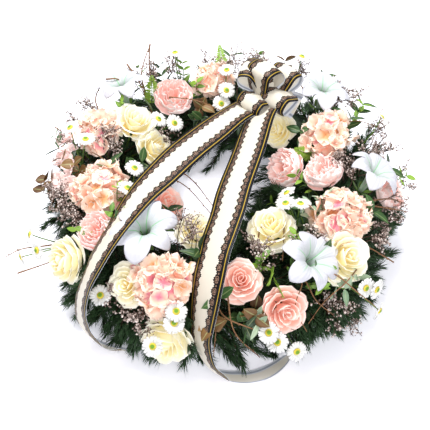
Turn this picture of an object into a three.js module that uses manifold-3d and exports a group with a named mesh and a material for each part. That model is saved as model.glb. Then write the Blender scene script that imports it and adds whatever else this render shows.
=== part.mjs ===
// Memorial wreath: a bound straw ring covered with fir bunches, dressed with artificial flowers on picks
// and tied with a printed funeral ribbon. Millimetres, +Z up. The wreath lies on its flat back.
//
// Every place on the wreath is given by two angles on the ring and a distance:
//   clock  degrees round the ring seen from above, 0 at +X, 90 at the far side, where the bow sits
//   lean   degrees round the roll, 0 at the crown, positive outwards, negative towards the hole
//   reach  distance from the roll's centreline

import * as THREE from 'three';
import { mergeVertices } from 'three/addons/utils/BufferGeometryUtils.js';
import Module from 'manifold-3d';

const wasm = await Module();
wasm.setup();

// ---- driving dimensions ----
const RING_RADIUS = 205;        // centreline of the roll, seen from above
const ROLL_HEIGHT = 55;         // height of the roll's centreline over the floor
const STRAW_RADIUS = 44;        // bound straw roll
const STRAW_HEIGHT = 38;        // its centreline lies lower than the roll's: the fir is thicker on top
const FIR_OUTER = 69;           // reach of the fir at the crown
const FIR_TIP = 24;             // how far the fir tips stand out at the rim
const BUNCHES = 7;
const PICK_RADIUS = 1.8;        // stem with its wire pick
const PICK_DEPTH = 18;          // how far a pick is pushed into the straw
const HEAD_BASE = 80;           // reach at which a flower head begins
const GAP = 0.35;               // clearance left round whatever lies in a softer piece
const RIBBON_WIDTH = 60;
const RIBBON_THICK = 1.2;
const TAU = Math.PI * 2;
const UP = new THREE.Vector3(0, 0, 1);

// ---- places on the ring ----
function onRing(clock, lean, reach) {
  const c = THREE.MathUtils.degToRad(clock);
  const l = THREE.MathUtils.degToRad(lean);
  const out = RING_RADIUS + reach * Math.sin(l);
  return new THREE.Vector3(out * Math.cos(c), out * Math.sin(c), ROLL_HEIGHT + reach * Math.cos(l));
}

function outward(clock, lean) {
  return onRing(clock, lean, 1).sub(onRing(clock, lean, 0));
}

// Reach of the straw's surface along a lean.
function strawReach(lean) {
  const drop = ROLL_HEIGHT - STRAW_HEIGHT;
  const l = THREE.MathUtils.degToRad(lean);
  return Math.sqrt(STRAW_RADIUS ** 2 - (drop * Math.sin(l)) ** 2) - drop * Math.cos(l);
}

function pickFoot(clock, lean) {
  return onRing(clock, lean, strawReach(lean) - PICK_DEPTH);
}

// ---- solids ----
function solidFrom(geometry, bend = null) {
  const bare = geometry.clone();
  bare.deleteAttribute('normal');
  bare.deleteAttribute('uv');
  const merged = mergeVertices(bare, 1e-3);
  const point = new THREE.Vector3();
  const places = merged.attributes.position;
  for (let i = 0; bend && i < places.count; i += 1) {
    bend(point.fromBufferAttribute(places, i), i);
    places.setXYZ(i, point.x, point.y, point.z);
  }
  const corners = [];
  for (let i = 0; i < merged.index.count; i += 3) {
    const [a, b, c] = [0, 1, 2].map((k) => merged.index.getX(i + k));
    if (a !== b && b !== c && c !== a) corners.push(a, b, c);
  }
  if (volumeOf(places, corners) < 0) corners.reverse();
  return new wasm.Manifold(new wasm.Mesh({
    numProp: 3,
    vertProperties: new Float32Array(places.array),
    triVerts: new Uint32Array(corners),
  }));
}

function volumeOf(places, corners) {
  const p = [0, 1, 2].map(() => new THREE.Vector3());
  let six = 0;
  for (let i = 0; i < corners.length; i += 3) {
    p.forEach((v, k) => v.fromBufferAttribute(places, corners[i + k]));
    six += p[0].dot(p[1].clone().cross(p[2]));
  }
  return six / 6;
}

function geometryFrom(solid) {
  const mesh = solid.getMesh();
  const indexed = new THREE.BufferGeometry();
  indexed.setAttribute('position', new THREE.BufferAttribute(mesh.vertProperties, 3));
  indexed.setIndex(new THREE.BufferAttribute(mesh.triVerts, 1));
  const flat = indexed.toNonIndexed();
  flat.computeVertexNormals();
  return flat;
}

function placed(solid, position, axis, spin = 0) {
  const turn = new THREE.Quaternion().setFromUnitVectors(UP, axis.clone().normalize());
  turn.multiply(new THREE.Quaternion().setFromAxisAngle(UP, THREE.MathUtils.degToRad(spin)));
  const matrix = new THREE.Matrix4().compose(position, turn, new THREE.Vector3(1, 1, 1));
  return solid.transform(matrix.elements);
}

function joined(solids) {
  return solids.reduce((whole, next) => whole.add(next));
}

function rod(points, radius, steps, sides = 5) {
  const section = new THREE.Shape();
  for (let k = 0; k < sides; k += 1) {
    const a = (k / sides) * TAU;
    section[k ? 'lineTo' : 'moveTo'](radius * Math.cos(a), radius * Math.sin(a));
  }
  const path = points.length === 2
    ? new THREE.LineCurve3(...points)
    : new THREE.CatmullRomCurve3(points);
  return solidFrom(new THREE.ExtrudeGeometry(section, { steps, extrudePath: path }));
}

// ---- flower heads: axis +Z, base at z = 0. 'grow' makes the same head larger all round ----
function turned(profile, sides, grow, bend = null) {
  const top = Math.max(...profile.map((p) => p[1]));
  const points = profile.map(([r, z]) => new THREE.Vector2(
    r > 0 ? r + grow : 0,
    z + (z > top * 0.6 ? grow : -grow),
  ));
  const upright = new THREE.LatheGeometry(points, sides).rotateX(Math.PI / 2);
  return solidFrom(upright, bend);
}

// Rose: a cup of overlapping petals round a pointed heart, on a green calyx.
function roseHead(width, grow = 0) {
  const r = width / 2;
  const profile = [[0, -5], [4, -4], [r * 0.5, 3], [r * 0.92, 16], [r, 30], [r * 0.82, 38],
    [r * 0.6, 34], [r * 0.46, 44], [0, 47]];
  return turned(profile, 10, grow, (p) => {
    const a = Math.atan2(p.y, p.x);
    const petal = 1 + 0.07 * Math.cos(5 * a + p.z * 0.08);
    p.x *= petal;
    p.y *= petal;
  });
}

// Peony: a fuller, flatter ball of ruffled petals over two spread guard petals.
function peonyHead(width, grow = 0) {
  const r = width / 2;
  const profile = [[0, -5], [4, -4], [r * 0.7, 4], [r, 14], [r * 0.9, 24], [r * 0.8, 36], [r * 0.45, 46], [0, 42]];
  return turned(profile, 12, grow, (p) => {
    const a = Math.atan2(p.y, p.x);
    const ruffle = 1 + 0.06 * Math.cos(6 * a + p.z * 0.1);
    p.x *= ruffle;
    p.y *= ruffle;
  });
}

// Hydrangea: a dome of small four-petalled florets.
function hydrangeaHead(width, depth, grow = 0) {
  const ball = new THREE.IcosahedronGeometry(1, 2);
  return solidFrom(ball, (p) => {
    const lump = 1 + 0.07 * Math.cos(7 * p.x + 2) * Math.cos(7 * p.y) * Math.cos(6 * p.z + 1);
    p.x *= (width / 2) * lump + grow;
    p.y *= (width / 2) * lump + grow;
    p.z = (p.z * lump + (p.z < 0 ? 0.25 : 0)) * (depth / 2 + grow) + depth / 2 - 6;
  });
}

// Lily: six petals on one funnel, their tips bent back.
function lilyHead(width, grow = 0) {
  const r = width / 2;
  const half = 1 + grow;
  const funnel = [[4, 0], [9, 16], [25, 35], [r, 40]];
  const under = funnel.map(([x, z]) => [x + half * 0.7, z - half]);
  const over = funnel.map(([x, z]) => [Math.max(x - half * 0.7, 1), z + half]).reverse();
  const profile = [[0, -6 - grow], ...under, ...over, [0, 6 + half]];
  const points = profile.map(([x, z]) => new THREE.Vector2(x, z));
  return solidFrom(new THREE.LatheGeometry(points, 12).rotateX(Math.PI / 2), (p) => {
    const a = Math.atan2(p.y, p.x);
    const far = Math.hypot(p.x, p.y) / r;
    const petal = Math.abs(Math.cos(3 * a));
    const keep = far > 0.4 ? 1 - (far - 0.4) * 0.75 * (1 - petal) : 1;
    p.x *= keep;
    p.y *= keep;
  });
}

// Daisy: a flat wheel of white rays round a low yellow button.
function daisyHead(width, grow = 0) {
  const r = width / 2;
  return turned([[0, -3], [r, 1], [r, 3], [0, 6]], 8, grow);
}

// ---- picks: a head with its stem, pushed through the fir into the straw ----
const gardens = [];             // every piece in building order: { name, colour, solid, grown }

function keep(name, colour, solid, grown = solid, roughness = 0.7) {
  gardens.push({ name, colour, solid, grown, roughness });
}

function pick(name, colour, head, clock, lean, { reach = HEAD_BASE, spin = 0, tip = null } = {}) {
  const foot = pickFoot(clock, lean);
  const base = onRing(clock, lean, reach);
  const axis = tip ? new THREE.Vector3(...tip).normalize() : outward(clock, lean);
  const [solid, grown] = [0, GAP].map((grow) => joined([
    placed(head(grow), base, axis, spin),
    rod([foot, base.clone().addScaledVector(axis, 2)], PICK_RADIUS + grow, 1, 4),
  ]));
  keep(name, colour, solid, grown);
}

// A spray: several thin stems from one foot, each with its own small head.
function spray(name, colour, clock, lean, stems, head, thick) {
  const foot = pickFoot(clock, lean);
  const fork = onRing(clock, lean, HEAD_BASE - 8);
  const [solid, grown] = [0, GAP].map((grow) => joined([
    rod([foot, fork], thick + grow, 1, 4),
    ...stems.flatMap(([c, l, reach, facing = null]) => {
      const end = onRing(c, l, reach);
      const axis = facing ? new THREE.Vector3(...facing).normalize() : outward(c, l);
      const middle = fork.clone().lerp(end, 0.5).addScaledVector(outward(clock, lean), 6);
      return [rod([fork, middle, end], thick * 0.8 + grow, 3, 4), placed(head(grow), end, axis)];
    }),
  ]));
  keep(name, colour, solid, grown);
}

// ---- the ribbon: a long strip laid along a route of [x, y, z, facing x, y, z] ----
const LEFT_TAIL = [
  [50, 112, 162, -0.1, 0.2, 1], [17, 79, 168, -0.1, 0.2, 1], [-24, 24, 177, 0, 0.1, 1], [-63, -27, 182, 0, 0.1, 1],
  [-97, -78, 184, -0.1, 0.1, 1], [-123, -118, 184, -0.3, 0.1, 0.9], [-145, -159, 180, -0.5, 0.1, 0.8],
  [-165, -195, 172, -0.65, 0.1, 0.75], [-184, -225, 155, -0.75, 0, 0.65], [-196, -238, 132, -0.9, -0.1, 0.45],
  [-206, -252, 104, -0.9, -0.25, 0.35], [-208, -259, 82, -0.9, -0.45, 0.2], [-207, -265, 62, -0.8, -0.6, 0],
  [-200, -270, 46, -0.7, -0.7, -0.2], [-184, -277, 31, -0.5, -0.75, -0.45], [-168, -282, 27, -0.2, -0.8, -0.6],
  [-149, -284, 27, -0.1, -0.85, -0.5],
];
const RIGHT_TAIL = [
  [70, 100, 166, -0.4, 0.2, 0.9], [57, 63, 172, -0.45, 0.2, 0.9], [36, -25, 181, -0.4, 0.15, 0.9],
  [13, -110, 185, -0.4, 0.1, 0.9], [4, -153, 185, -0.45, 0.1, 0.9], [-7, -193, 184, -0.5, 0.05, 0.9],
  [-15, -224, 179, -0.6, -0.05, 0.8], [-22, -253, 166, -0.65, -0.3, 0.7], [-28, -275, 140, -0.75, -0.5, 0.4],
  [-34, -296, 95, -0.85, -0.45, 0.25], [-33, -307, 72, -0.85, -0.55, 0.1], [-25, -318, 50, -0.8, -0.6, -0.1],
  [-13, -325, 36, -0.6, -0.75, -0.3], [2, -328, 27, -0.3, -0.7, -0.6], [20, -329, 25, -0.1, -0.7, -0.7],
  [36, -329, 25, 0.15, -0.7, -0.7], [58, -323, 26, 0.35, -0.65, -0.7], [78, -310, 28, 0.55, -0.6, -0.6],
  [95, -293, 31, 0.7, -0.6, -0.4],
];
const TAIL_STEPS = 32;

// Four corners a step. Both broad faces are split along the same diagonal, so that they stay one
// thickness apart where the ribbon twists.
const STRIP_CORNERS = [[-0.5, 0.5], [0.5, 0.5], [0.5, -0.5], [-0.5, -0.5]];  // across, through
const BACK_SIDE = 2;
function strip(route, width, thick, steps) {
  const path = new THREE.CatmullRomCurve3(route.map((r) => new THREE.Vector3(...r.slice(0, 3))));
  const face = new THREE.CatmullRomCurve3(route.map((r) => new THREE.Vector3(...r.slice(3))));
  const points = [];
  const index = [];
  for (let k = 0; k <= steps; k += 1) {
    const along = path.getTangent(k / steps);
    const side = along.clone().cross(face.getPoint(k / steps)).normalize();
    const front = side.clone().cross(along);
    STRIP_CORNERS.forEach(([across, through], j) => {
      points.push(path.getPoint(k / steps)
        .addScaledVector(side, across * width).addScaledVector(front, through * thick));
      if (k === steps) return;
      const next = (j + 1) % 4;
      const [a, b, c, d] = [4 * k + j, 4 * k + next, 4 * k + 4 + next, 4 * k + 4 + j];
      index.push(...(j === BACK_SIDE ? [a, b, d, b, c, d] : [a, b, c, a, c, d]));
    });
  }
  const end = 4 * steps;
  index.push(0, 3, 2, 0, 2, 1, end, end + 1, end + 2, end, end + 2, end + 3);
  return solidFrom(new THREE.BufferGeometry().setFromPoints(points).setIndex(index));
}

// Bow loops, all pinched at the tie: [azimuth, elevation, length, height, root offset x, y, z]
const BOW_TIE = new THREE.Vector3(74, 118, 166);
const LOOPS = [
  [42, 62, 52, 40, -18, 2, 12],
  [42, 34, 48, 26, 10, 6, 12],
  [161, 39, 50, 28, -6, 16, 14],
  [42, 172, 40, 24, -7, -4, 5],
  [42, 172, 46, 28, 37, 0, 10],
];
const LOOP_WIDTH = 0.9 * RIBBON_WIDTH;  // the gathers at the tie draw the loops in
const LOOP_STEPS = 8;
const TEARDROP = [[0, 1.5], [0.4, 0.34], [0.78, 0.5], [1, 0], [0.78, -0.5], [0.4, -0.34], [0, -1.5]];
const KNOT_SIZE = [66, 30, 16];
const KNOT_SHIFT = [8, 5, 6];           // from the tie to the knot's middle
const BOW_END = [                       // the bow's cut end, back upwards
  [86, 120, 170, 0.2, 0.1, -1], [106, 111, 168, 0.2, 0.1, -1], [124, 103, 163, 0.2, 0.1, -1],
];

function bowLoop([azimuth, elevation, length, height, ...root], thick) {
  const a = THREE.MathUtils.degToRad(azimuth);
  const e = THREE.MathUtils.degToRad(elevation);
  const axis = new THREE.Vector3(Math.cos(a) * Math.cos(e), Math.sin(a) * Math.cos(e), Math.sin(e));
  const over = new THREE.Vector3(-Math.cos(a) * Math.sin(e), -Math.sin(a) * Math.sin(e), Math.cos(e));
  const route = TEARDROP.map(([out, rise]) => {
    const lift = out > 0 ? rise * height : rise;
    const at = BOW_TIE.clone().add(new THREE.Vector3(...root))
      .addScaledVector(axis, out * length).addScaledVector(over, lift);
    const face = axis.clone().multiplyScalar(out - 0.5).addScaledVector(over, rise || 0.001);
    return [at.x, at.y, at.z, face.x, face.y, face.z];
  });
  return strip(route, LOOP_WIDTH, thick, LOOP_STEPS);
}

function bow(grow) {
  const thick = RIBBON_THICK + 2 * grow;
  const core = new THREE.BoxGeometry(...KNOT_SIZE.map((size) => size + 2 * grow)).translate(...KNOT_SHIFT);
  const knot = solidFrom(core).translate(BOW_TIE.toArray());
  return joined([knot, ...LOOPS.map((loop) => bowLoop(loop, thick)), strip(BOW_END, LOOP_WIDTH, thick, 3)]);
}

keep('bow_loops', '#f2ead2', bow(0), bow(GAP), 0.45);
Object.entries({ left: LEFT_TAIL, right: RIGHT_TAIL }).forEach(([hand, route]) => keep(
  `ribbon_tail_${hand}`, '#f2ead2', strip(route, RIBBON_WIDTH, RIBBON_THICK, TAIL_STEPS),
  strip(route, RIBBON_WIDTH + 2 * GAP, RIBBON_THICK + 2 * GAP, TAIL_STEPS), 0.45));

// A green wire through the bow's knot, pushed down into the straw.
const TIE_WIRE = [[70, 176, 70], [80, 150, 130], [86, 128, 156]].map((at) => new THREE.Vector3(...at));
const WIRE_RADIUS = 1;
keep('bow_tie_wire', '#2f4a2c', rod(TIE_WIRE, WIRE_RADIUS, 5), rod(TIE_WIRE, WIRE_RADIUS + GAP, 5));

// ---- the planting: [clock, lean, width, options] ----
const LILIES = [
  [236, 2, 108, { spin: 20 }], [295, 24, 108, { spin: 50 }], [343, 13, 100, { spin: 10 }],
  [38, 2, 100, { spin: 30 }], [141, 11, 100, { spin: 0 }],
];
LILIES.forEach(([clock, lean, width, options], i) => pick(
  `lily_${i + 1}`, '#f2f2f0', (grow) => lilyHead(width, grow), clock, lean, { reach: 84, ...options }));

const CREAM_ROSES = [
  [153, -19, 68], [157, -50, 62], [46, -50, 60], [252, -50, 64], [296, -28, 70], [311, 35, 76],
  [216, 64, 70], [240, 44, 62], [254, 84, 74],
];
CREAM_ROSES.forEach(([clock, lean, width], i) => pick(
  `cream_rose_${i + 1}`, '#f3e8bd', (grow) => roseHead(width, grow), clock, lean));

const SALMON_ROSES = [[275, 24, 58, HEAD_BASE], [287, 54, 66, HEAD_BASE], [214, -62, 66, 88]];
SALMON_ROSES.forEach(([clock, lean, width, reach], i) => pick(
  `salmon_rose_${i + 1}`, '#eeb09c', (grow) => roseHead(width, grow), clock, lean, { reach }));

const PEONIES = [
  [122, -20, 74, HEAD_BASE], [8, -64, 74, 98], [348, -27, 72, HEAD_BASE], [219, 24, 66, HEAD_BASE],
  [346, 42, 60, HEAD_BASE],
];
PEONIES.forEach(([clock, lean, width, reach], i) => pick(
  `pink_peony_${i + 1}`, '#f4cbc6', (grow) => peonyHead(width, grow), clock, lean, { reach }));

const HYDRANGEAS = [
  [202, 3, 88, 54], [165, 8, 76, 48], [96, -9, 66, 46], [16, -18, 88, 50], [321, 9, 92, 56], [250, 34, 88, 54],
];
HYDRANGEAS.forEach(([clock, lean, width, depth], i) => pick(
  `hydrangea_${i + 1}`, '#f0bfa8', (grow) => hydrangeaHead(width, depth, grow), clock, lean, { reach: 78 }));

const sprayDaisy = (grow) => daisyHead(32, grow);
const DAISIES = [
  [141, -44, [[150, -34, 138], [137, -44, 126]]],
  [205, -32, [[198, -27, 124], [213, -14, 122]]],
  [91, -42, [[89, -13, 132], [89, -30, 130], [93, -40, 126]]],
  [181, 24, [[184, 5, 144], [176, 17, 144]]],
  [311, -30, [[315, -34, 128], [305, -22, 130], [309, -13, 132]]],
  [206, 80, [[204, 66, 134], [210, 66, 134], [204, 86, 146]]],
  [311, 68, [[310, 59, 126], [313, 65, 128], [314, 88, 126]]],
];
DAISIES.forEach(([clock, lean, stems], i) => spray(
  `daisy_spray_${i + 1}`, '#f4f4ec', clock, lean, stems, sprayDaisy, 1.3));

const clump = (grow) => solidFrom(new THREE.OctahedronGeometry(9 + grow, 0));
const LIMONIUM = [
  [84, 10, [[86, 10, 122], [79, 10, 124], [91, 0, 120]]],
  [44, 36, [[42, 24, 118], [36, 28, 122], [30, 32, 126]]],
  [196, 44, [[203, 40, 116], [193, 42, 116], [198, 32, 122]]],
];
LIMONIUM.forEach(([clock, lean, stems], i) => spray(
  `limonium_spray_${i + 1}`, '#b59a92', clock, lean, stems, clump, 1));

// Bare twigs that arch out of the fir: [clock, lean, end x, y, z]
const TWIGS = [
  [206, 74, -337, -162, 90], [150, 30, -213, 196, 150], [128, 20, -131, 223, 205],
];
TWIGS.forEach(([clock, lean, ...end], i) => {
  const foot = pickFoot(clock, lean);
  const bend = onRing(clock, lean, 110);
  const route = [foot, bend, bend.clone().lerp(new THREE.Vector3(...end), 0.6).add(new THREE.Vector3(0, 0, 8)),
    new THREE.Vector3(...end)];
  keep(`twig_${i + 1}`, '#7c5537', rod(route, 1.5, 10, 5), rod(route, 1.5 + GAP, 10, 5));
});

// Greening pins: hairpins that hold each fir bunch's stems down on the straw.
const PIN_LEAN = 64;
function greeningPin(clock, grow) {
  const half = 9;
  const tip = onRing(clock, PIN_LEAN, strawReach(PIN_LEAN) - 26);
  const crown = onRing(clock, PIN_LEAN, strawReach(PIN_LEAN) + 9);
  const side = outward(clock, PIN_LEAN).cross(UP).normalize().multiplyScalar(half);
  const [left, right] = [side, side.clone().negate()];
  return joined([
    rod([tip.clone().add(left), crown.clone().add(left)], 0.9 + grow, 1, 4),
    rod([tip.clone().add(right), crown.clone().add(right)], 0.9 + grow, 1, 4),
    rod([crown.clone().addScaledVector(left, 1.1), crown.clone().addScaledVector(right, 1.1)], 0.9 + grow, 1, 4),
  ]);
}
const BUNCH_SPAN = 360 / BUNCHES;
for (let k = 0; k < BUNCHES; k += 1) {
  const clock = k * BUNCH_SPAN + 14;
  keep(`greening_pin_${k + 1}`, '#4a5a48', greeningPin(clock, 0), greeningPin(clock, GAP));
}

// Fir bunches: each covers its stretch of the straw from the hole's foot over the crown to the rim's foot.
// The ends are slanted, so that a bunch's tips lie over the next one's stems.
const FIR_LEANS = [-120, 119];
const FIR_LIFT = 2.5;           // the shell's inner face clears the straw's facets by this much
const SLANT = 0.35;             // degrees of clock per millimetre of reach
function firBunch(clock, seed) {
  const box = new THREE.BoxGeometry(1, 1, 1, 6, 7, 1);
  return solidFrom(box, (p) => {
    const lean = THREE.MathUtils.lerp(FIR_LEANS[0], FIR_LEANS[1], p.y + 0.5);
    const rim = Math.max(0, (Math.abs(lean) - 62) / 50);
    const sprig = 0.5 + 0.5 * Math.cos((p.x * 6 + seed) * Math.PI);
    const lumps = 3 * Math.cos(p.x * 17 + seed * 2) * Math.cos(lean * 0.09 + seed);
    const tips = lean > 0 ? FIR_TIP : FIR_TIP * 0.5;
    const inner = strawReach(lean) + FIR_LIFT;
    const reach = p.z > 0 ? FIR_OUTER + lumps + rim * (sprig * tips - 2) : inner;
    const turn = clock + (p.x + 0.5) * (BUNCH_SPAN - 0.3) + SLANT * (reach - inner);
    p.copy(onRing(turn, lean, reach));
  });
}
for (let k = 0; k < BUNCHES; k += 1) {
  keep(`fir_bunch_${k + 1}`, '#24402c', firBunch(k * BUNCH_SPAN, k));
}

// Straw ring: a roll pressed flat underneath.
function strawRing() {
  const profile = [];
  const flat = Math.acos(STRAW_HEIGHT / STRAW_RADIUS);
  for (let k = 0; k <= 8; k += 1) {
    const a = -Math.PI / 2 + flat + (k / 8) * (TAU - 2 * flat);
    profile.push(new THREE.Vector2(RING_RADIUS + STRAW_RADIUS * Math.cos(a),
      STRAW_HEIGHT + STRAW_RADIUS * Math.sin(a)));
  }
  profile.push(profile[0].clone());
  return solidFrom(new THREE.LatheGeometry(profile, 28).rotateX(Math.PI / 2));
}
keep('straw_ring', '#33402b', strawRing());

// ---- fit: each piece gives way to those above it in the list ----
const group = new THREE.Group();
const laid = [];
for (const piece of gardens) {
  let { solid } = piece;
  for (const other of laid) solid = solid.subtract(other.grown);
  const bodies = solid.decompose().sort((a, b) => b.volume() - a.volume());
  laid.push(piece);
  const material = new THREE.MeshStandardMaterial({ color: piece.colour, roughness: piece.roughness });
  const mesh = new THREE.Mesh(geometryFrom(bodies[0]), material);
  mesh.name = piece.name;
  group.add(mesh);
}

// The origin is under the middle of the wreath's box, at floor level.
const span = new THREE.Box3().setFromObject(group);
group.position.set(-(span.min.x + span.max.x) / 2, -(span.min.y + span.max.y) / 2, -span.min.z);
group.updateMatrixWorld(true);

export default group;
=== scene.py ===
"""A memorial wreath lying on its flat back: fir on a straw ring, artificial flowers on wire picks,
and a printed mourning ribbon. Lengths in mm are turned to the scene's metres by MM."""

import functools
import math

import bpy
import numpy as np
from mathutils import Matrix, Vector


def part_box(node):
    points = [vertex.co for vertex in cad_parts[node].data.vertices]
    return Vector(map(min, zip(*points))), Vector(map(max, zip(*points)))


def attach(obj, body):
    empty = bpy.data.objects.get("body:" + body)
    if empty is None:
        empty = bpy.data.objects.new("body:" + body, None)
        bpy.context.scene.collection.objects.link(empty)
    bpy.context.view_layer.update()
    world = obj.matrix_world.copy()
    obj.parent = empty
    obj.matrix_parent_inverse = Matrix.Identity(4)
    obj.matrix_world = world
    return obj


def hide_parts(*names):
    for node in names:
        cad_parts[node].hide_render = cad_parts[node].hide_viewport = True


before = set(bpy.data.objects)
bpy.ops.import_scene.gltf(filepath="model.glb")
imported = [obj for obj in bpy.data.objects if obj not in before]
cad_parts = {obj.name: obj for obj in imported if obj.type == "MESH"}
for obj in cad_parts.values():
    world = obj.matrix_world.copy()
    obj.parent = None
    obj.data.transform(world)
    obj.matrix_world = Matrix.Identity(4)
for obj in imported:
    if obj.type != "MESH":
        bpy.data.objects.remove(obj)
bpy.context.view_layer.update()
MM = 0.001

# ---- Studio -------------------------------------------------------------------------------
# A white sweep of card under the wreath and large soft boxes round it, as for a catalogue.
# The camera looks down on the wreath from its near side, where the ribbon tails end.

straw_low, straw_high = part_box("straw_ring")
RING_CENTRE = Vector(((straw_low.x + straw_high.x) / 2, (straw_low.y + straw_high.y) / 2, 0))


def linear(hex_colour):
    """An sRGB hex colour as linear red, green, blue and alpha."""
    channels = [int(hex_colour[i:i + 2], 16) / 255 for i in (1, 3, 5)]
    return (*[c / 12.92 if c <= 0.04045 else ((c + 0.055) / 1.055) ** 2.4 for c in channels], 1.0)


def add(tree, kind, links=None, **settings):
    """Adds a shader node: settings are its properties, links its sockets' values or what feeds them."""
    made = tree.nodes.new(kind)
    for name, value in settings.items():
        setattr(made, name, value)
    for name, value in (links or {}).items():
        if isinstance(value, bpy.types.NodeSocket):
            tree.links.new(value, made.inputs[name])
        else:
            made.inputs[name].default_value = value
    return made


def new_material(name):
    """An empty material; returns it with its node tree."""
    material = bpy.data.materials.new(name)
    material.use_nodes = True
    material.node_tree.nodes.clear()
    return material, material.node_tree


def close(tree, shader):
    """Ends the material with this shader on its surface."""
    add(tree, "ShaderNodeOutputMaterial", {"Surface": shader.outputs[0]})


def white_card():
    """Matt white card on a light table: plain, almost no gloss, lit a little from below."""
    material, tree = new_material("white_card")
    close(tree, add(tree, "ShaderNodeBsdfPrincipled",
                    {"Base Color": linear("#F4F4FA"), "Roughness": 0.9, "Specular IOR Level": 0.1,
                     "Emission Color": linear("#F4F4FF"), "Emission Strength": 0.36}))
    return material


CAMERA_ELEVATION = math.radians(48)
CAMERA_DISTANCE = 1.25
AIM_HEIGHT = 0.05
LENS = 60.7                     # mm, as the sensor is
SENSOR_WIDTH = 36
IMAGE_SIDE = 430
SHIFT = (-10, -19)              # of the picture to the side and down, in the image's own units
FLOOR_HALF = 4
FLOOR_DROP = 0.0008             # keeps the floor just clear of what rests on it

camera_data = bpy.data.cameras.new("camera")
camera_data.lens = LENS
camera_data.sensor_width = SENSOR_WIDTH
camera_data.shift_x = SHIFT[0] / IMAGE_SIDE
camera_data.shift_y = SHIFT[1] / IMAGE_SIDE
camera = bpy.data.objects.new("camera", camera_data)
bpy.context.scene.collection.objects.link(camera)
aim = RING_CENTRE + Vector((0, 0, AIM_HEIGHT))
back = Vector((0, -math.cos(CAMERA_ELEVATION), math.sin(CAMERA_ELEVATION)))
camera.location = aim + back * CAMERA_DISTANCE
camera.rotation_euler = back.to_track_quat("Z", "Y").to_euler()
bpy.context.scene.camera = camera

floor_mesh = bpy.data.meshes.new("floor")
floor_corners = [(x * FLOOR_HALF, y * FLOOR_HALF, 0) for x, y in ((-1, -1), (1, -1), (1, 1), (-1, 1))]
floor_mesh.from_pydata(floor_corners, [], [(0, 1, 2, 3)])
floor_mesh.materials.append(white_card())
floor = bpy.data.objects.new("floor", floor_mesh)
floor.location.z = -FLOOR_DROP
bpy.context.scene.collection.objects.link(floor)


def soft_box(name, place, size, power):
    """An area light aimed at the wreath."""
    light = bpy.data.lights.new(name, "AREA")
    light.shape, light.size, light.energy = "DISK", size, power
    lamp = bpy.data.objects.new(name, light)
    lamp.location = RING_CENTRE + Vector(place)
    lamp.rotation_euler = Vector(place).to_track_quat("Z", "Y").to_euler()
    bpy.context.scene.collection.objects.link(lamp)


soft_box("top_box", (-0.35, 0.55, 2.0), 1.1, 52)
soft_box("front_box", (0.5, -1.7, 1.6), 1.0, 24)
world = bpy.data.worlds.new("studio")
world.use_nodes = True
world.node_tree.nodes["Background"].inputs["Color"].default_value = linear("#FFFFFF")
world.node_tree.nodes["Background"].inputs["Strength"].default_value = 0.5
bpy.context.scene.world = world
bpy.context.scene.view_settings.view_transform = "Standard"

# ---- Straw ring and greening pins ---------------------------------------------------------
# A roll of straw bound tight into a ring and wound in dark green crepe tape, flat underneath.
# Everything else is pushed into it. Steel hairpins hold the fir bunches down on it.

RING_RADIUS = 205 * MM
ROLL_HEIGHT = 55 * MM
STRAW_RADIUS = 44 * MM
STRAW_HEIGHT = 38 * MM
PICK_DEPTH = 18                 # mm that a stem's wire pick goes into the straw


def on_ring(clock, lean, reach):
    """A point from its clock round the ring, its lean round the roll (degrees) and its reach in mm."""
    turn, tilt = math.radians(clock), math.radians(lean)
    out = RING_RADIUS + reach * MM * math.sin(tilt)
    height = ROLL_HEIGHT + reach * MM * math.cos(tilt)
    return RING_CENTRE + Vector((out * math.cos(turn), out * math.sin(turn), height))


def outward(clock, lean):
    """The direction straight away from the middle of the roll."""
    return (on_ring(clock, lean, 10) - on_ring(clock, lean, 0)).normalized()


def straw_reach(lean):
    """Reach of the straw's surface along a lean, in mm."""
    drop, tilt = ROLL_HEIGHT - STRAW_HEIGHT, math.radians(lean)
    return (math.sqrt(STRAW_RADIUS ** 2 - (drop * math.sin(tilt)) ** 2) - drop * math.cos(tilt)) / MM


def pick_foot(clock, lean):
    """Where the pick of a stem pushed in at this clock and lean ends, inside the straw."""
    return on_ring(clock, lean, straw_reach(lean) - PICK_DEPTH)


def ramp(tree, share, *stops, interpolation="LINEAR"):
    """A colour that runs through stops, each a share from 0 to 1 and its hex colour."""
    made = add(tree, "ShaderNodeValToRGB", {"Fac": share})
    made.color_ramp.interpolation = interpolation
    elements = made.color_ramp.elements
    elements[0].position, elements[1].position = stops[0][0], stops[-1][0]
    elements[0].color, elements[1].color = linear(stops[0][1]), linear(stops[-1][1])
    for place, colour in stops[1:-1]:
        elements.new(place).color = linear(colour)
    return made.outputs["Color"]


def crepe_tape():
    """Stretched crepe paper: dull green with fine cross wrinkles every 1.5 mm."""
    material, tree = new_material("green_crepe_tape")
    place = add(tree, "ShaderNodeNewGeometry").outputs["Position"]
    wrinkle = add(tree, "ShaderNodeTexNoise", {"Vector": place, "Scale": 1 / 0.0015, "Detail": 3.0})
    tint = ramp(tree, wrinkle.outputs["Fac"], (0.0, "#0E1C10"), (1.0, "#24381F"))
    bump = add(tree, "ShaderNodeBump",
               {"Height": wrinkle.outputs["Fac"], "Strength": 0.6, "Distance": 0.0006})
    close(tree, add(tree, "ShaderNodeBsdfPrincipled",
                    {"Base Color": tint, "Normal": bump.outputs["Normal"], "Roughness": 0.85}))
    return material


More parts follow.
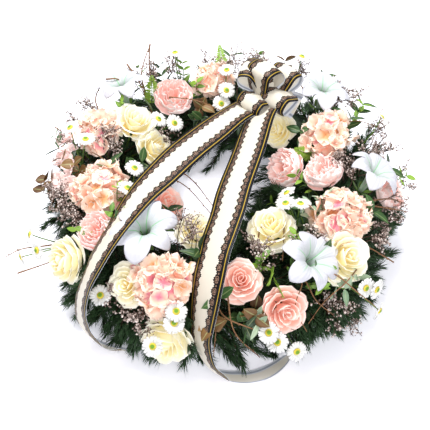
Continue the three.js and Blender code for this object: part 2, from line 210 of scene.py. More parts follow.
def drawn_steel():
    """Bright drawn steel wire: smooth, with faint drag marks."""
    material, tree = new_material("drawn_steel_wire")
    marks = add(tree, "ShaderNodeTexNoise", {"Scale": 900.0, "Detail": 2.0})
    bump = add(tree, "ShaderNodeBump", {"Height": marks.outputs["Fac"], "Strength": 0.2, "Distance": 0.0001})
    close(tree, add(tree, "ShaderNodeBsdfPrincipled",
                    {"Base Color": linear("#9A9C98"), "Metallic": 1.0, "Roughness": 0.35,
                     "Normal": bump.outputs["Normal"]}))
    return material


def dress(node_names, material):
    """Gives CAD nodes that stay as they are their finish."""
    for name in node_names:
        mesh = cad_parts[name].data
        mesh.materials.clear()
        mesh.materials.append(material)


dress(["straw_ring"], crepe_tape())
dress([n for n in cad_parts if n.startswith("greening_pin")], drawn_steel())

# ---- Fir bunches --------------------------------------------------------------------------
# Sprigs of fir, cut 6 to 12 cm long and laid one over the next so that the tips hide the stems.
# Each is a brown shoot with stiff needles 16 to 25 mm long set all round it.

LOWEST = 0.8 * MM               # nothing that trails reaches lower over the floor


class Shape:
    """Collects the closed sheets and rods of one piece. marks holds three numbers a point for its
    material, and finish says which of its materials a face gets."""

    def __init__(self):
        self.points, self.marks, self.corners, self.sizes, self.finish, self.count = [], [], [], [], [], 0
        self.turn, self.origin = np.eye(3), np.zeros(3)

    def stand(self, position=(0, 0, 0), axis=None, spin=0.0):
        """What is added from now on has its own Z along axis and its own origin at position."""
        turn = Matrix.Identity(3)
        if axis is not None:
            turn = Vector((0, 0, 1)).rotation_difference(Vector(axis)).to_matrix()
        self.turn = np.array(turn @ Matrix.Rotation(math.radians(spin), 3, "Z"))
        self.origin = np.array(position, float)

    def put(self, points, marks, faces, finish=0):
        """Adds points, their marks, and an array of faces of one size."""
        points = np.asarray(points, float).reshape(-1, 3) @ self.turn.T + self.origin
        points[:, 2] = np.maximum(points[:, 2], LOWEST)
        self.points.append(points)
        self.marks.append(np.asarray(marks, float).reshape(-1, 3))
        faces = np.asarray(faces, int)
        self.corners.append((faces + self.count).ravel())
        self.sizes.append(np.full(len(faces), faces.shape[1]))
        self.finish.append(np.full(len(faces), finish))
        self.count += len(points)

    def sheet(self, grid, thick, marks, finish=0, back=None):
        """A closed sheet of this thickness round a grid of points; back is its other side's finish."""
        rows, columns = grid.shape[:2]
        across, along = np.gradient(grid, axis=0), np.gradient(grid, axis=1)
        normal = np.cross(across, along)
        normal /= np.linalg.norm(normal, axis=-1, keepdims=True) + 1e-12
        sides = [(grid + normal * thick / 2).reshape(-1, 3), (grid - normal * thick / 2).reshape(-1, 3)]
        marks = np.concatenate([marks.reshape(-1, 3)] * 2)
        self.put(np.concatenate(sides), marks, sheet_faces(rows, columns), finish)
        if back is not None:
            self.finish[-1][(rows - 1) * (columns - 1):] = back

    def rod(self, path, radius, sides, marks=(0, 0, 0), finish=0):
        """A round rod along a path; radius is one number or one a point. Its ends are closed."""
        path = np.asarray(path, float)
        radius = np.broadcast_to(np.asarray(radius, float), len(path))
        along = np.gradient(path, axis=0)
        along /= np.linalg.norm(along, axis=-1, keepdims=True) + 1e-12
        side = np.cross(along, (0.31, 0.17, 0.93))
        side /= np.linalg.norm(side, axis=-1, keepdims=True) + 1e-12
        other = np.cross(along, side)
        a = np.linspace(0, 2 * math.pi, sides, endpoint=False)
        ring = np.cos(a)[None, :, None] * side[:, None] + np.sin(a)[None, :, None] * other[:, None]
        points = path[:, None] + ring * radius[:, None, None]
        last = (len(path) - 1) * sides
        start = self.count
        marks = np.broadcast_to(marks, (len(path) * sides, 3))
        self.put(points, marks, tube_faces(len(path), sides), finish)
        self.cap([range(sides - 1, -1, -1), range(last, last + sides)], start, finish)

    def cap(self, faces, start, finish):
        """Adds faces on points that are already there, numbered from start."""
        faces = np.array([list(face) for face in faces])
        self.corners.append((faces + start).ravel())
        self.sizes.append(np.full(len(faces), faces.shape[1]))
        self.finish.append(np.full(len(faces), finish))

    def object(self, name, materials, replaced, slot):
        """Makes the object, which rides on the wreath and stands for the CAD nodes in replaced."""
        mesh = bpy.data.meshes.new(name)
        points, corners = np.concatenate(self.points), np.concatenate(self.corners)
        sizes = np.concatenate(self.sizes)
        mesh.vertices.add(len(points))
        mesh.vertices.foreach_set("co", points.astype(np.float32).ravel())
        mesh.loops.add(len(corners))
        mesh.loops.foreach_set("vertex_index", corners.astype(np.int32))
        mesh.polygons.add(len(sizes))
        starts = np.concatenate([[0], np.cumsum(sizes)[:-1]])
        mesh.polygons.foreach_set("loop_start", starts.astype(np.int32))
        mesh.polygons.foreach_set("material_index", np.concatenate(self.finish).astype(np.int32))
        mesh.update(calc_edges=True)
        mesh.polygons.foreach_set("use_smooth", np.ones(len(sizes), bool))
        marks = mesh.attributes.new("marks", "FLOAT_VECTOR", "POINT")
        marks.data.foreach_set("vector", np.concatenate(self.marks).astype(np.float32).ravel())
        for material in materials:
            mesh.materials.append(material)
        made = bpy.data.objects.new(name, mesh)
        bpy.context.scene.collection.objects.link(made)
        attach(made, "root")
        if replaced:
            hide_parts(*replaced)
        return made


def tube_faces(rings, sides, first=0):
    """Faces of a tube whose points come ring after ring, from the point numbered first."""
    faces = []
    for near in range(first, first + (rings - 1) * sides, sides):
        for k in range(sides):
            after = (k + 1) % sides
            faces.append((near + k, near + after, near + sides + after, near + sides + k))
    return faces


@functools.cache
def sheet_faces(rows, columns):
    """Faces of a closed sheet whose front and back are grids of rows by columns points."""
    i, j = np.meshgrid(np.arange(rows - 1), np.arange(columns - 1), indexing="ij")
    corner = (i * columns + j).ravel()
    front = np.stack([corner, corner + columns, corner + columns + 1, corner + 1], 1)
    back = front[:, ::-1] + rows * columns
    edge = ([(0, j) for j in range(columns)] + [(i, columns - 1) for i in range(1, rows)]
            + [(rows - 1, j) for j in range(columns - 2, -1, -1)] + [(i, 0) for i in range(rows - 2, 0, -1)])
    loop = np.array([i * columns + j for i, j in edge])
    after = np.roll(loop, -1)
    rim = np.stack([loop, after, after + rows * columns, loop + rows * columns], 1)
    return np.concatenate([front, back, rim])


NEEDLE_LENGTH = (16, 25)        # mm
NEEDLE_WIDTH = 1.6              # mm, a little over life so that it shows
NEEDLE_CLEARANCE = 1 * MM       # of a needle's tip over the floor; its foot keeps twice that
NEEDLES_PER_SPRIG = 180
SPRIG_LENGTH = (80, 120)        # mm, before the rows' own shortening
SPRIG_ROWS = {                  # lean round the roll, and how many sprigs of a bunch start there
    -112: 4, -84: 6, -58: 5, -34: 4, -12: 3, 12: 3, 34: 4, 58: 6, 76: 9, 92: 10, 106: 11, 118: 6,
}
SPRIG_FOOT = 3                  # mm from the straw to a sprig's foot
STEEPEST_LEAN = 116             # degrees round the roll, where the sprigs stand out farthest
NEEDLE_STOP = 0.92              # share of a flower head's radius within which no needle stands
SHOOT_STOP = 0.8                # the same for the shoots
HEAD_BASE = 80                  # reach at which a flower head begins, in mm
FIR_MIDDLE = RING_CENTRE + Vector((-10, -10, 0)) * MM    # the fir's outline isn't quite round the straw
FIR_RADIUS = 303 * MM           # a shoot that would end farther from its middle is shortened
SHORTENINGS = 6
SHORTENED = 0.88


def head_ball(node):
    """Middle and radius of a flower's head, leaving out its stem."""
    points = np.array([node.matrix_world @ v.co for v in node.data.vertices]) - np.array(RING_CENTRE)
    off = np.hypot(np.hypot(points[:, 0], points[:, 1]) - RING_RADIUS, points[:, 2] - ROLL_HEIGHT)
    low, high = points[off > HEAD_BASE * MM].min(0), points[off > HEAD_BASE * MM].max(0)
    return (low + high) / 2 + np.array(RING_CENTRE), (high - low).mean() / 2


head_balls = [head_ball(node) for name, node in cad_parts.items()
              if name.startswith(("cream_rose", "salmon_rose", "pink_peony", "hydrangea", "lily"))]


def clear_of_heads(points, share):
    """Which points lie outside this share of every flower head's radius."""
    clear = [np.linalg.norm(points - middle, axis=1) > share * radius for middle, radius in head_balls]
    return np.all(clear, 0)


def fir_sprig(shape, foot, heading, lift, length, rng):
    """One shoot that leaves foot along heading and bends by lift, with its needles. The shoot is
    cut where it meets a flower head, and needles that would stand in one are left out."""
    steps = np.linspace(0, 1, 7)[:, None]
    for _ in range(SHORTENINGS):
        end = foot + (heading + lift) * length
        if np.hypot(*(end - np.array(FIR_MIDDLE))[:2]) > FIR_RADIUS:
            length *= SHORTENED
    path = foot + heading * length * steps + lift * length * steps ** 2
    path = path[:max(2, int(np.argmin(np.append(clear_of_heads(path, SHOOT_STOP), False))))]
    shape.rod(path, np.linspace(1.5, 0.6, len(path)) * MM, 4, (0, 0, 0.5), 1)
    t = np.sort(rng.uniform(0.06, 1.0, NEEDLES_PER_SPRIG))
    at = foot + heading * length * t[:, None] + lift * length * t[:, None] ** 2
    along = heading + 2 * lift * t[:, None]
    along /= np.linalg.norm(along, axis=1, keepdims=True)
    around = np.cross(along, rng.normal(size=at.shape))
    around /= np.linalg.norm(around, axis=1, keepdims=True)
    open_angle = np.radians(rng.uniform(28, 58, len(t)))[:, None] * (1.05 - 0.5 * t[:, None])
    way = along * np.cos(open_angle) + around * np.sin(open_angle)
    size = rng.uniform(*NEEDLE_LENGTH, len(t))[:, None] * MM
    tip = at + way * size + np.array((0, 0, -1)) * size * 0.06
    tip[:, 2] = np.maximum(tip[:, 2], NEEDLE_CLEARANCE)
    at[:, 2] = np.maximum(at[:, 2], 2 * NEEDLE_CLEARANCE)
    flat = np.cross(way, along)
    flat /= np.linalg.norm(flat, axis=1, keepdims=True) + 1e-12
    thick = np.cross(way, flat)
    half = NEEDLE_WIDTH * MM / 2
    middle = at * 0.55 + tip * 0.45
    corners = [at, middle + flat * half, middle - flat * half + thick * half * 0.5, tip]
    tone = rng.uniform(0, 1, len(t))[:, None]
    kept = clear_of_heads(tip, NEEDLE_STOP) & clear_of_heads(middle, NEEDLE_STOP)
    first = np.arange(kept.sum())[:, None, None] * 4
    faces = (first + np.array([(0, 2, 1), (3, 1, 2), (0, 3, 2), (0, 1, 3)])).reshape(-1, 3)
    marks = np.zeros((kept.sum(), 4, 3))
    # Y runs from 0 at a needle's foot to 1 at its tip; the needles' painted highlight follows it
    marks[:, 3, 1] = 1
    marks[:, 1:3, 1] = 0.5
    marks[:, :, 2] = tone[kept]
    shape.put(np.stack(corners, 1)[kept], marks, faces, 0)


def marks_of(tree):
    """The three numbers that a piece's points carry for its material."""
    return add(tree, "ShaderNodeAttribute", attribute_name="marks").outputs["Vector"]


def mark_parts(tree):
    """The same three numbers one by one, as X, Y and Z."""
    return add(tree, "ShaderNodeSeparateXYZ", {"Vector": marks_of(tree)}).outputs


def fir_needle():
    """Fir needles: waxy blue-green in tones that differ at random, a soft gloss; paler toward each tip, a
    painted highlight, which leaves the base darker as painted shade.
    """
    material, tree = new_material("waxy_fir_needle")
    parts = mark_parts(tree)
    tone = ramp(tree, parts["Z"], (0.0, "#0C170C"), (0.6, "#162A18"), (1.0, "#31502F"))
    # painted highlight: each needle is mixed paler toward its tip, so its base stays darker as painted shade
    tip_highlight = add(tree, "ShaderNodeMixRGB", {"Fac": parts["Y"], "Color1": tone, "Color2": linear("#40623A")})
    close(tree, add(tree, "ShaderNodeBsdfPrincipled",
                    {"Base Color": tip_highlight.outputs["Color"], "Roughness": 0.5, "Specular IOR Level": 0.3}))
    return material


def bark(name, dark, light):
    """Thin dry bark: matt, with fine cracks about 2 mm apart."""
    material, tree = new_material(name)
    place = add(tree, "ShaderNodeNewGeometry").outputs["Position"]
    cracks = add(tree, "ShaderNodeTexNoise", {"Vector": place, "Scale": 1 / 0.002, "Detail": 4.0})
    tint = ramp(tree, cracks.outputs["Fac"], (0.3, dark), (0.7, light))
    bump = add(tree, "ShaderNodeBump", {"Height": cracks.outputs["Fac"], "Strength": 0.7, "Distance": 0.0004})
    close(tree, add(tree, "ShaderNodeBsdfPrincipled",
                    {"Base Color": tint, "Normal": bump.outputs["Normal"], "Roughness": 0.75}))
    return material


needle_finish = fir_needle()
shoot_bark = bark("fir_shoot_bark", "#2C1E12", "#5C4630")
BUNCHES = 7
BUNCH_SPAN = 360 / BUNCHES
for bunch in range(BUNCHES):
    rng = np.random.default_rng(40 + bunch)
    fir = Shape()
    for lean, rows in SPRIG_ROWS.items():
        for row in range(rows):
            clock = bunch * BUNCH_SPAN + (row + rng.uniform(0.1, 0.9)) * BUNCH_SPAN / rows
            tilt = lean + rng.uniform(-9, 9)
            foot = np.array(on_ring(clock, tilt, straw_reach(tilt) + SPRIG_FOOT))
            round_way = np.array(on_ring(clock + 1, tilt, 50) - on_ring(clock, tilt, 50))
            round_way /= np.linalg.norm(round_way)
            out = np.array(outward(clock, tilt))
            downhill = np.array(outward(clock, tilt + (90 if lean > 0 else -90)))
            rim = abs(lean) / STEEPEST_LEAN
            heading = round_way * (0.8 - 0.2 * rim) + out * (0.3 + 0.25 * rim) + downhill * (0.1 + 0.2 * rim)
            heading += rng.normal(0, 0.22, 3)
            heading /= np.linalg.norm(heading)
            lift = -out * (0.22 - 0.12 * rim) + downhill * 0.06
            length = rng.uniform(*SPRIG_LENGTH) * MM * (0.74 if abs(lean) > 70 else 0.86)
            fir_sprig(fir, foot, heading, lift, length, rng)
    fir.object(f"fir_{bunch + 1}", [needle_finish, shoot_bark], [f"fir_bunch_{bunch + 1}"], "fir_needles")

EXTRA_LENGTH = (70, 116)        # mm, for sprigs tucked in where a bunch leaves a gap
EXTRA_FIR = [                   # name, clocks and leans between which it grows, sprigs, seed
    ("fir_inner", (284, 350), (-108, -48), 46, 60),
    ("fir_inner_right", (350, 380), (-100, -56), 16, 61),
    ("fir_rim_left", (218, 262), (72, 118), 38, 62),
    ("fir_rim_right", (288, 318), (72, 118), 24, 63),
]
for name, clocks, leans, sprigs, seed in EXTRA_FIR:
    rng = np.random.default_rng(seed)
    extra = Shape()
    for _ in range(sprigs):
        clock, lean = rng.uniform(*clocks), rng.uniform(*leans)
        foot = np.array(on_ring(clock, lean, straw_reach(lean) + SPRIG_FOOT))
        inward = np.array(RING_CENTRE) - foot
        inward[2] = 0
        heading = inward / np.linalg.norm(inward) * -np.sign(lean) + np.array((0, 0, 0.35))
        heading += rng.normal(0, 0.25, 3)
        heading /= np.linalg.norm(heading)
        fir_sprig(extra, foot, heading, np.array((0, 0, -0.3)), rng.uniform(*EXTRA_LENGTH) * MM, rng)
    extra.object(name, [needle_finish, shoot_bark], [], "fir_needles")

# ---- Roses --------------------------------------------------------------------------------
# Polyester petals, cut, dyed and heat-pressed into cups, threaded row on row over a plastic
# stem and glued. The outer rows are rolled back at the edge. A green calyx closes the foot.

ROSE_WIDTH = 70                 # mm, the width that the rows' heights are given for
SEPALS = 5
ROSE_ROWS = [                   # petals, foot and tip radius, tip height, half angle, roll of the edge
    (2, 0.02, 0.12, 45, 125, 0.3), (3, 0.05, 0.26, 47, 82, 1.2), (3, 0.08, 0.42, 46, 66, 2.6),
    (4, 0.12, 0.60, 43, 54, 4.6), (5, 0.17, 0.80, 36, 47, 7.0), (5, 0.21, 0.96, 26, 44, 8.5),
    (3, 0.24, 1.02, 16, 50, 7.0),
]
PETAL_THICK = 0.35 * MM
THREAD_PITCH = 0.9 * MM         # of the cloth that petals are cut from
PETAL_GLOW = 0.17               # stands for the light that thin cloth passes on from petal to petal


def smooth(low, high, x):
    """Rises from 0 at low to 1 at high, level at both ends."""
    t = np.clip((x - low) / (high - low), 0, 1)
    return t * t * (3 - 2 * t)


def cupped_petal(shape, rows, half_angle, start, foot, tip, height, roll, depth, rng, ruffle=0.0, jag=0.0):
    """A petal wrapped round the flower's axis: it swells from radius foot to radius tip, rises, and
    rolls back (roll above 0) or closes in (below 0). jag cuts its edge into teeth."""
    u, v = np.meshgrid(np.linspace(-1, 1, rows), np.linspace(0, 1, rows), indexing="ij")
    wave, turn = rng.uniform(0, 2 * math.pi, 2)
    notches = jag * np.abs(np.sin(6.5 * u + wave)) * v ** 3
    rise = v * (1 - 0.24 * u ** 2 - 0.08 * u ** 6 - notches)
    breadth = 0.42 + 0.58 * np.sin(math.pi * np.clip(rise * 0.74, 0, 1))
    angle = np.radians(start + half_angle * u * breadth)
    curl = smooth(0.68, 1.0, rise) + 0.35 * np.abs(u) ** 3 * rise
    radius = foot + (tip - foot) * np.sin(rise * math.pi / 2) ** 0.85 + u * 1.3 * MM
    radius = radius + roll * curl + ruffle * rise ** 2 * np.sin(3.2 * math.pi * u + wave)
    tall = height * rise ** 1.15 - 0.5 * roll * curl ** 2
    tall = tall + ruffle * rise ** 3 * np.sin(4.1 * math.pi * u + turn)
    grid = np.stack([radius * np.cos(angle), radius * np.sin(angle), tall], -1)
    marks = np.stack([u, v, np.full_like(u, depth)], -1)
    shape.sheet(grid, PETAL_THICK, marks)


def calyx_and_stem(shape, clock, lean, position, axis):
    """Pointed sepals under the head, and the stem with its pick in the straw."""
    for k in range(SEPALS):
        u, v = np.meshgrid(np.linspace(-1, 1, 5), np.linspace(0, 1, 5), indexing="ij")
        angle = math.radians(360 / SEPALS * k) + u * 0.5 * (1 - v) ** 0.6
        radius = (3 + 17 * v) * MM
        grid = np.stack([radius * np.cos(angle), radius * np.sin(angle), (-3 + 9 * v ** 1.6) * MM], -1)
        shape.sheet(grid, 0.5 * MM, np.stack([u, v, 0 * u], -1), 1)
    shape.stand()
    foot = pick_foot(clock, lean)
    middle = position - axis * 4 * MM
    shape.rod([foot, (foot + middle) / 2, middle, position + axis * 6 * MM], 1.7 * MM, 6, (0, 0, 0), 1)


def rose(shape, width, rng):
    """A rose's head: rows of cupped petals from the closed heart to the rolled outer ones."""
    scale, half = width / ROSE_WIDTH, width / 2 * MM
    for k, (count, foot, tip, height, half_angle, roll) in enumerate(ROSE_ROWS):
        offset = rng.uniform(0, 360)
        for petal in range(count):
            start = offset + 360 / count * petal + rng.uniform(-9, 9)
            cupped_petal(shape, 9, half_angle * rng.uniform(0.9, 1.08), start, foot * half,
                         tip * half * rng.uniform(0.86, 0.97), height * scale * MM * rng.uniform(0.93, 1.05),
                         roll * scale * MM * rng.uniform(0.6, 1.1), k / (len(ROSE_ROWS) - 1), rng,
                         ruffle=(0.3 + 0.16 * k) * MM)


def pressed_polyester(name, heart, middle, outer, edge):
    """Dyed polyester cloth pressed into petals: soft, faintly fibrous. Deeper colour toward each petal's foot
    and in the inner rows is partly the cloth's dye and partly painted shade of the heart and folds;
    a painted glow in the petal's own colour lifts its shade.
    """
    material, tree = new_material(name)
    parts = mark_parts(tree)
    place = add(tree, "ShaderNodeNewGeometry").outputs["Position"]
    blotch = add(tree, "ShaderNodeTexNoise", {"Vector": place, "Scale": 1 / 0.03, "Detail": 2.0})
    shift = add(tree, "ShaderNodeMath", {0: blotch.outputs["Fac"], 1: 0.5}, operation="SUBTRACT")
    row = add(tree, "ShaderNodeMath", {0: parts["Z"], 1: 0.5, 2: shift.outputs[0]},
              operation="MULTIPLY_ADD")
    depth = add(tree, "ShaderNodeMath", {0: parts["Y"], 1: 0.5, 2: row.outputs[0]},
                operation="MULTIPLY_ADD")
    # painted shade: the colour runs deeper toward each petal's foot and the inner rows, where shade falls in
    # the heart and folds; part of it is the cloth's own dye
    dye_and_shade = ramp(tree, depth.outputs[0], (0.12, heart), (0.46, middle), (0.86, outer))
    rim = add(tree, "ShaderNodeMapRange", {"Value": parts["Y"], "From Min": 0.84, "From Max": 1.0,
                                           "To Min": 0.0, "To Max": 0.75})
    tinted = add(tree, "ShaderNodeMixRGB", {"Fac": rim.outputs[0], "Color1": dye_and_shade, "Color2": linear(edge)})
    stretch = add(tree, "ShaderNodeVectorMath", {0: marks_of(tree), 1: (22.0, 2.2, 1.0)},
                  operation="MULTIPLY")
    veins = add(tree, "ShaderNodeTexNoise", {"Vector": stretch.outputs[0], "Scale": 1.0, "Detail": 3.0})
    weave = add(tree, "ShaderNodeTexNoise", {"Vector": place, "Scale": 1 / THREAD_PITCH, "Detail": 1.0})
    relief = add(tree, "ShaderNodeMath", {0: veins.outputs["Fac"], 1: weave.outputs["Fac"]}, operation="ADD")
    bump = add(tree, "ShaderNodeBump", {"Height": relief.outputs[0], "Strength": 0.45, "Distance": 0.0005})
    # Emission in the petal's own colour is a painted glow that lifts the shade, set by PETAL_GLOW
    close(tree, add(tree, "ShaderNodeBsdfPrincipled",
                    {"Base Color": tinted.outputs["Color"], "Normal": bump.outputs["Normal"],
                     "Roughness": 0.6, "Sheen Weight": 0.15, "Emission Color": tinted.outputs["Color"],
                     "Emission Strength": PETAL_GLOW}))
    return material


def moulded_green(name, dark, light):
    """Soft green polythene, moulded: leaf green with a dull gloss."""
    material, tree = new_material(name)
    place = add(tree, "ShaderNodeNewGeometry").outputs["Position"]
    cloud = add(tree, "ShaderNodeTexNoise", {"Vector": place, "Scale": 1 / 0.012, "Detail": 3.0})
    tint = ramp(tree, cloud.outputs["Fac"], (0.3, dark), (0.7, light))
    bump = add(tree, "ShaderNodeBump", {"Height": cloud.outputs["Fac"], "Strength": 0.3, "Distance": 0.0008})
    close(tree, add(tree, "ShaderNodeBsdfPrincipled",
                    {"Base Color": tint, "Normal": bump.outputs["Normal"], "Roughness": 0.5}))
    return material


stem_green = moulded_green("moulded_stem_green", "#3E5E24", "#6E9038")
cream_cloth = pressed_polyester("cream_rose_polyester", "#E9C654", "#F2E8BA", "#F0ECDA", "#F7F4E8")
salmon_cloth = pressed_polyester("salmon_rose_polyester", "#DF7F5C", "#F0B7A5", "#F2CCC1", "#F8E3DC")


def planted(names, plan, head, cloth, slot, seed):
    """Makes one object a flower. plan gives each one's clock, lean and width, and where they aren't
    the usual ones, its reach and the way that its head nods."""
    for k, (clock, lean, width, *more) in enumerate(plan):
        rng = np.random.default_rng(seed + k)
        flower = Shape()
        axis = outward(clock, lean)
        reach, nod = more or (HEAD_BASE, (0, 0, 0))
        position = on_ring(clock, lean, reach)
        flower.stand(position, axis + Vector(nod), rng.uniform(0, 360))
        head(flower, width, rng)
        calyx_and_stem(flower, clock, lean, position, axis)
        flower.object(f"{names}_flower_{k + 1}", [cloth, stem_green], [f"{names}_{k + 1}"], slot)


CREAM_ROSES = [                 # clock, lean and width
    (153, -19, 68), (157, -50, 62), (46, -50, 60), (252, -50, 64, HEAD_BASE, (-0.1, -0.9, 0.5)),
    (296, -28, 70, HEAD_BASE, (0, -0.5, 0.2)), (311, 35, 76),
    (216, 64, 70), (240, 44, 62), (254, 84, 74),
]
SALMON_ROSES = [(275, 24, 58), (287, 54, 66), (214, -62, 66, 88, (-0.2, -0.75, 0.5))]
planted("cream_rose", CREAM_ROSES, rose, cream_cloth, "cream_petals", 100)
planted("salmon_rose", SALMON_ROSES, rose, salmon_cloth, "salmon_petals", 130)

# ---- Peonies ------------------------------------------------------------------------------
# The same cloth cut into many narrow petals with a crimped edge, packed into a full ball.

PEONY_WIDTH = 74                # mm, the width that the rows' heights are given for
PEONY_ROWS = [                  # petals, foot and tip radius, tip height, half angle, roll of the edge
    (4, 0.05, 0.32, 43, 62, 1.5), (5, 0.12, 0.52, 46, 46, 0.5), (6, 0.18, 0.70, 45, 40, -0.5),
    (6, 0.22, 0.86, 41, 40, -3.5), (5, 0.25, 0.99, 37, 46, -7.5), (5, 0.27, 1.05, 31, 48, -8.0),
    (4, 0.28, 1.02, 18, 50, -1.0),
]


def peony(shape, width, rng):
    """A peony's head: narrow crimped petals, the outer rows closed in round the heart."""
    scale, half = width / PEONY_WIDTH, width / 2 * MM
    for k, (count, foot, tip, height, half_angle, roll) in enumerate(PEONY_ROWS):
        offset = rng.uniform(0, 360)
        for petal in range(count):
            start = offset + 360 / count * petal + rng.uniform(-22, 22)
            cupped_petal(shape, 10, half_angle * rng.uniform(0.8, 1.15), start, foot * half,
                         tip * half * rng.uniform(0.84, 0.98), height * scale * MM * rng.uniform(0.86, 1.08),
                         roll * scale * MM * rng.uniform(0.4, 1.2), k / (len(PEONY_ROWS) - 1), rng,
                         ruffle=(3.4 - 0.4 * k) * scale * MM, jag=0.17)


pink_cloth = pressed_polyester("pale_pink_peony_polyester", "#EDA292", "#F3CCC3", "#F3DAD6", "#F9EAE8")
PEONIES = [(122, -20, 74), (8, -64, 74, 98, (0, -0.3, 0.2)), (348, -27, 72), (219, 24, 66), (346, 42, 60)]
planted("pink_peony", PEONIES, peony, pink_cloth, "pink_petals", 160)

# ---- Hydrangeas ---------------------------------------------------------------------------
# Printed four-petalled florets, each snapped on a branch of a moulded stem, make a loose dome.

FLORET_RADIUS = 19              # mm
FLORETS = 32
HYDRANGEA_BASE = 78             # reach of a head's middle, in mm
TUCKED_FOOT = 55                # reach at which the stem of a small piece tucked in begins, in the fir


def floret(shape, radius, rng, tone):
    """Four broad petals with waved edges that cup a little, in the floret's own frame."""
    cup = rng.uniform(0.0, 0.45)
    for k in range(4):
        u, v = np.meshgrid(np.linspace(-1, 1, 6), np.linspace(0, 1, 5), indexing="ij")
        wave = rng.uniform(0, 2 * math.pi)
        breadth = 0.66 * np.sin(math.pi * np.clip(0.1 + 0.81 * v, 0, 1)) ** 0.7
        x = radius * v * (1 - 0.14 * u ** 2) * rng.uniform(0.85, 1.1)
        y = radius * u * breadth
        z = radius * (cup * v ** 2 + 0.2 * u ** 2 * v + 0.12 * v ** 2 * np.sin(4.5 * u + wave))
        a = math.radians(90 * k + rng.uniform(-12, 12))
        grid = np.stack([x * math.cos(a) - y * math.sin(a), x * math.sin(a) + y * math.cos(a), z], -1)
        shape.sheet(grid, 0.3 * MM, np.stack([u, v, np.full_like(u, tone)], -1), 0)


def hydrangea(shape, width, depth, position, axis, rng):
    """A loose dome of florets, spread evenly by the golden angle, each on its own stalk."""
    golden = math.pi * (3 - math.sqrt(5))
    turn = np.array(Vector((0, 0, 1)).rotation_difference(axis).to_matrix())
    centre = np.array(position) + np.array(axis) * (depth / 2 - 6) * MM
    reach = np.array((width / 2 - 6, width / 2 - 6, depth / 2 - 2)) * MM
    for k in range(FLORETS):
        rise = 1 - 1.5 * (k + 0.5) / FLORETS
        flat = math.sqrt(max(0, 1 - rise * rise))
        way = np.array((flat * math.cos(golden * k), flat * math.sin(golden * k), rise))
        at = centre + turn @ (way * reach * rng.uniform(0.62, 1.12))
        facing = turn @ (way / reach * np.linalg.norm(reach)) + rng.normal(0, 0.55, 3)
        shape.stand(at, facing, rng.uniform(0, 90))
        floret(shape, FLORET_RADIUS * MM * rng.uniform(0.75, 1.1), rng, rng.uniform(0, 1))
        shape.stand()
        stalk = [centre - np.array(axis) * 0.3 * depth * MM, (centre + at) / 2, at]
        shape.rod(stalk, 0.7 * MM, 4, (0, 0, 0), 1)


def printed_floret_cloth():
    """Polyester printed peach, paler to the edge; some florets blush pink or rust in the eye."""
    material, tree = new_material("printed_hydrangea_polyester")
    parts = mark_parts(tree)
    place = add(tree, "ShaderNodeNewGeometry").outputs["Position"]
    blush = ramp(tree, parts["Z"], (0.0, "#EBA28B"), (0.36, "#EE86A2"), (0.72, "#D8935C"),
                 interpolation="CONSTANT")
    blotch = add(tree, "ShaderNodeTexNoise", {"Vector": place, "Scale": 1 / 0.016, "Detail": 2.0})
    spread = add(tree, "ShaderNodeMath", {0: blotch.outputs["Fac"], 1: 1.3}, operation="MULTIPLY")
    reach = add(tree, "ShaderNodeMath", {0: parts["Y"], 1: spread.outputs[0]}, operation="DIVIDE")
    stain = add(tree, "ShaderNodeMapRange", {"Value": reach.outputs[0], "From Min": 0.25, "From Max": 1.0,
                                             "To Min": 0.9, "To Max": 0.0})
    ground = add(tree, "ShaderNodeMixRGB", {"Fac": parts["Y"], "Color1": linear("#EDBB9C"),
                                            "Color2": linear("#F4E0D1")})
    inked = add(tree, "ShaderNodeMixRGB", {"Fac": stain.outputs[0], "Color1": ground.outputs["Color"],
                                           "Color2": blush})
    weave = add(tree, "ShaderNodeTexNoise", {"Vector": place, "Scale": 1 / THREAD_PITCH, "Detail": 1.0})
    bump = add(tree, "ShaderNodeBump", {"Height": weave.outputs["Fac"], "Strength": 0.35, "Distance": 0.0004})
    # Emission in the floret's own colour: a painted glow, weaker than the petals'
    close(tree, add(tree, "ShaderNodeBsdfPrincipled",
                    {"Base Color": inked.outputs["Color"], "Normal": bump.outputs["Normal"],
                     "Roughness": 0.62, "Sheen Weight": 0.12, "Emission Color": inked.outputs["Color"],
                     "Emission Strength": 0.6 * PETAL_GLOW}))
    return material


floret_cloth = printed_floret_cloth()
HYDRANGEAS = [                  # clock, lean, width and depth
    (202, 3, 88, 54), (165, 8, 76, 48), (96, -9, 66, 46), (16, -18, 88, 50), (321, 9, 92, 56),
    (250, 34, 88, 54),
]
for k, (clock, lean, width, depth) in enumerate(HYDRANGEAS):
    rng = np.random.default_rng(200 + k)
    head = Shape()
    axis, position = outward(clock, lean), on_ring(clock, lean, HYDRANGEA_BASE)
    hydrangea(head, width, depth, position, axis, rng)
    head.stand()
    stem = [pick_foot(clock, lean), position, position + axis * depth * 0.35 * MM]
    head.rod(stem, 1.9 * MM, 6, (0, 0, 0), 1)
    head.object(f"hydrangea_head_{k + 1}", [floret_cloth, stem_green], [f"hydrangea_{k + 1}"],
                "hydrangea_petals")

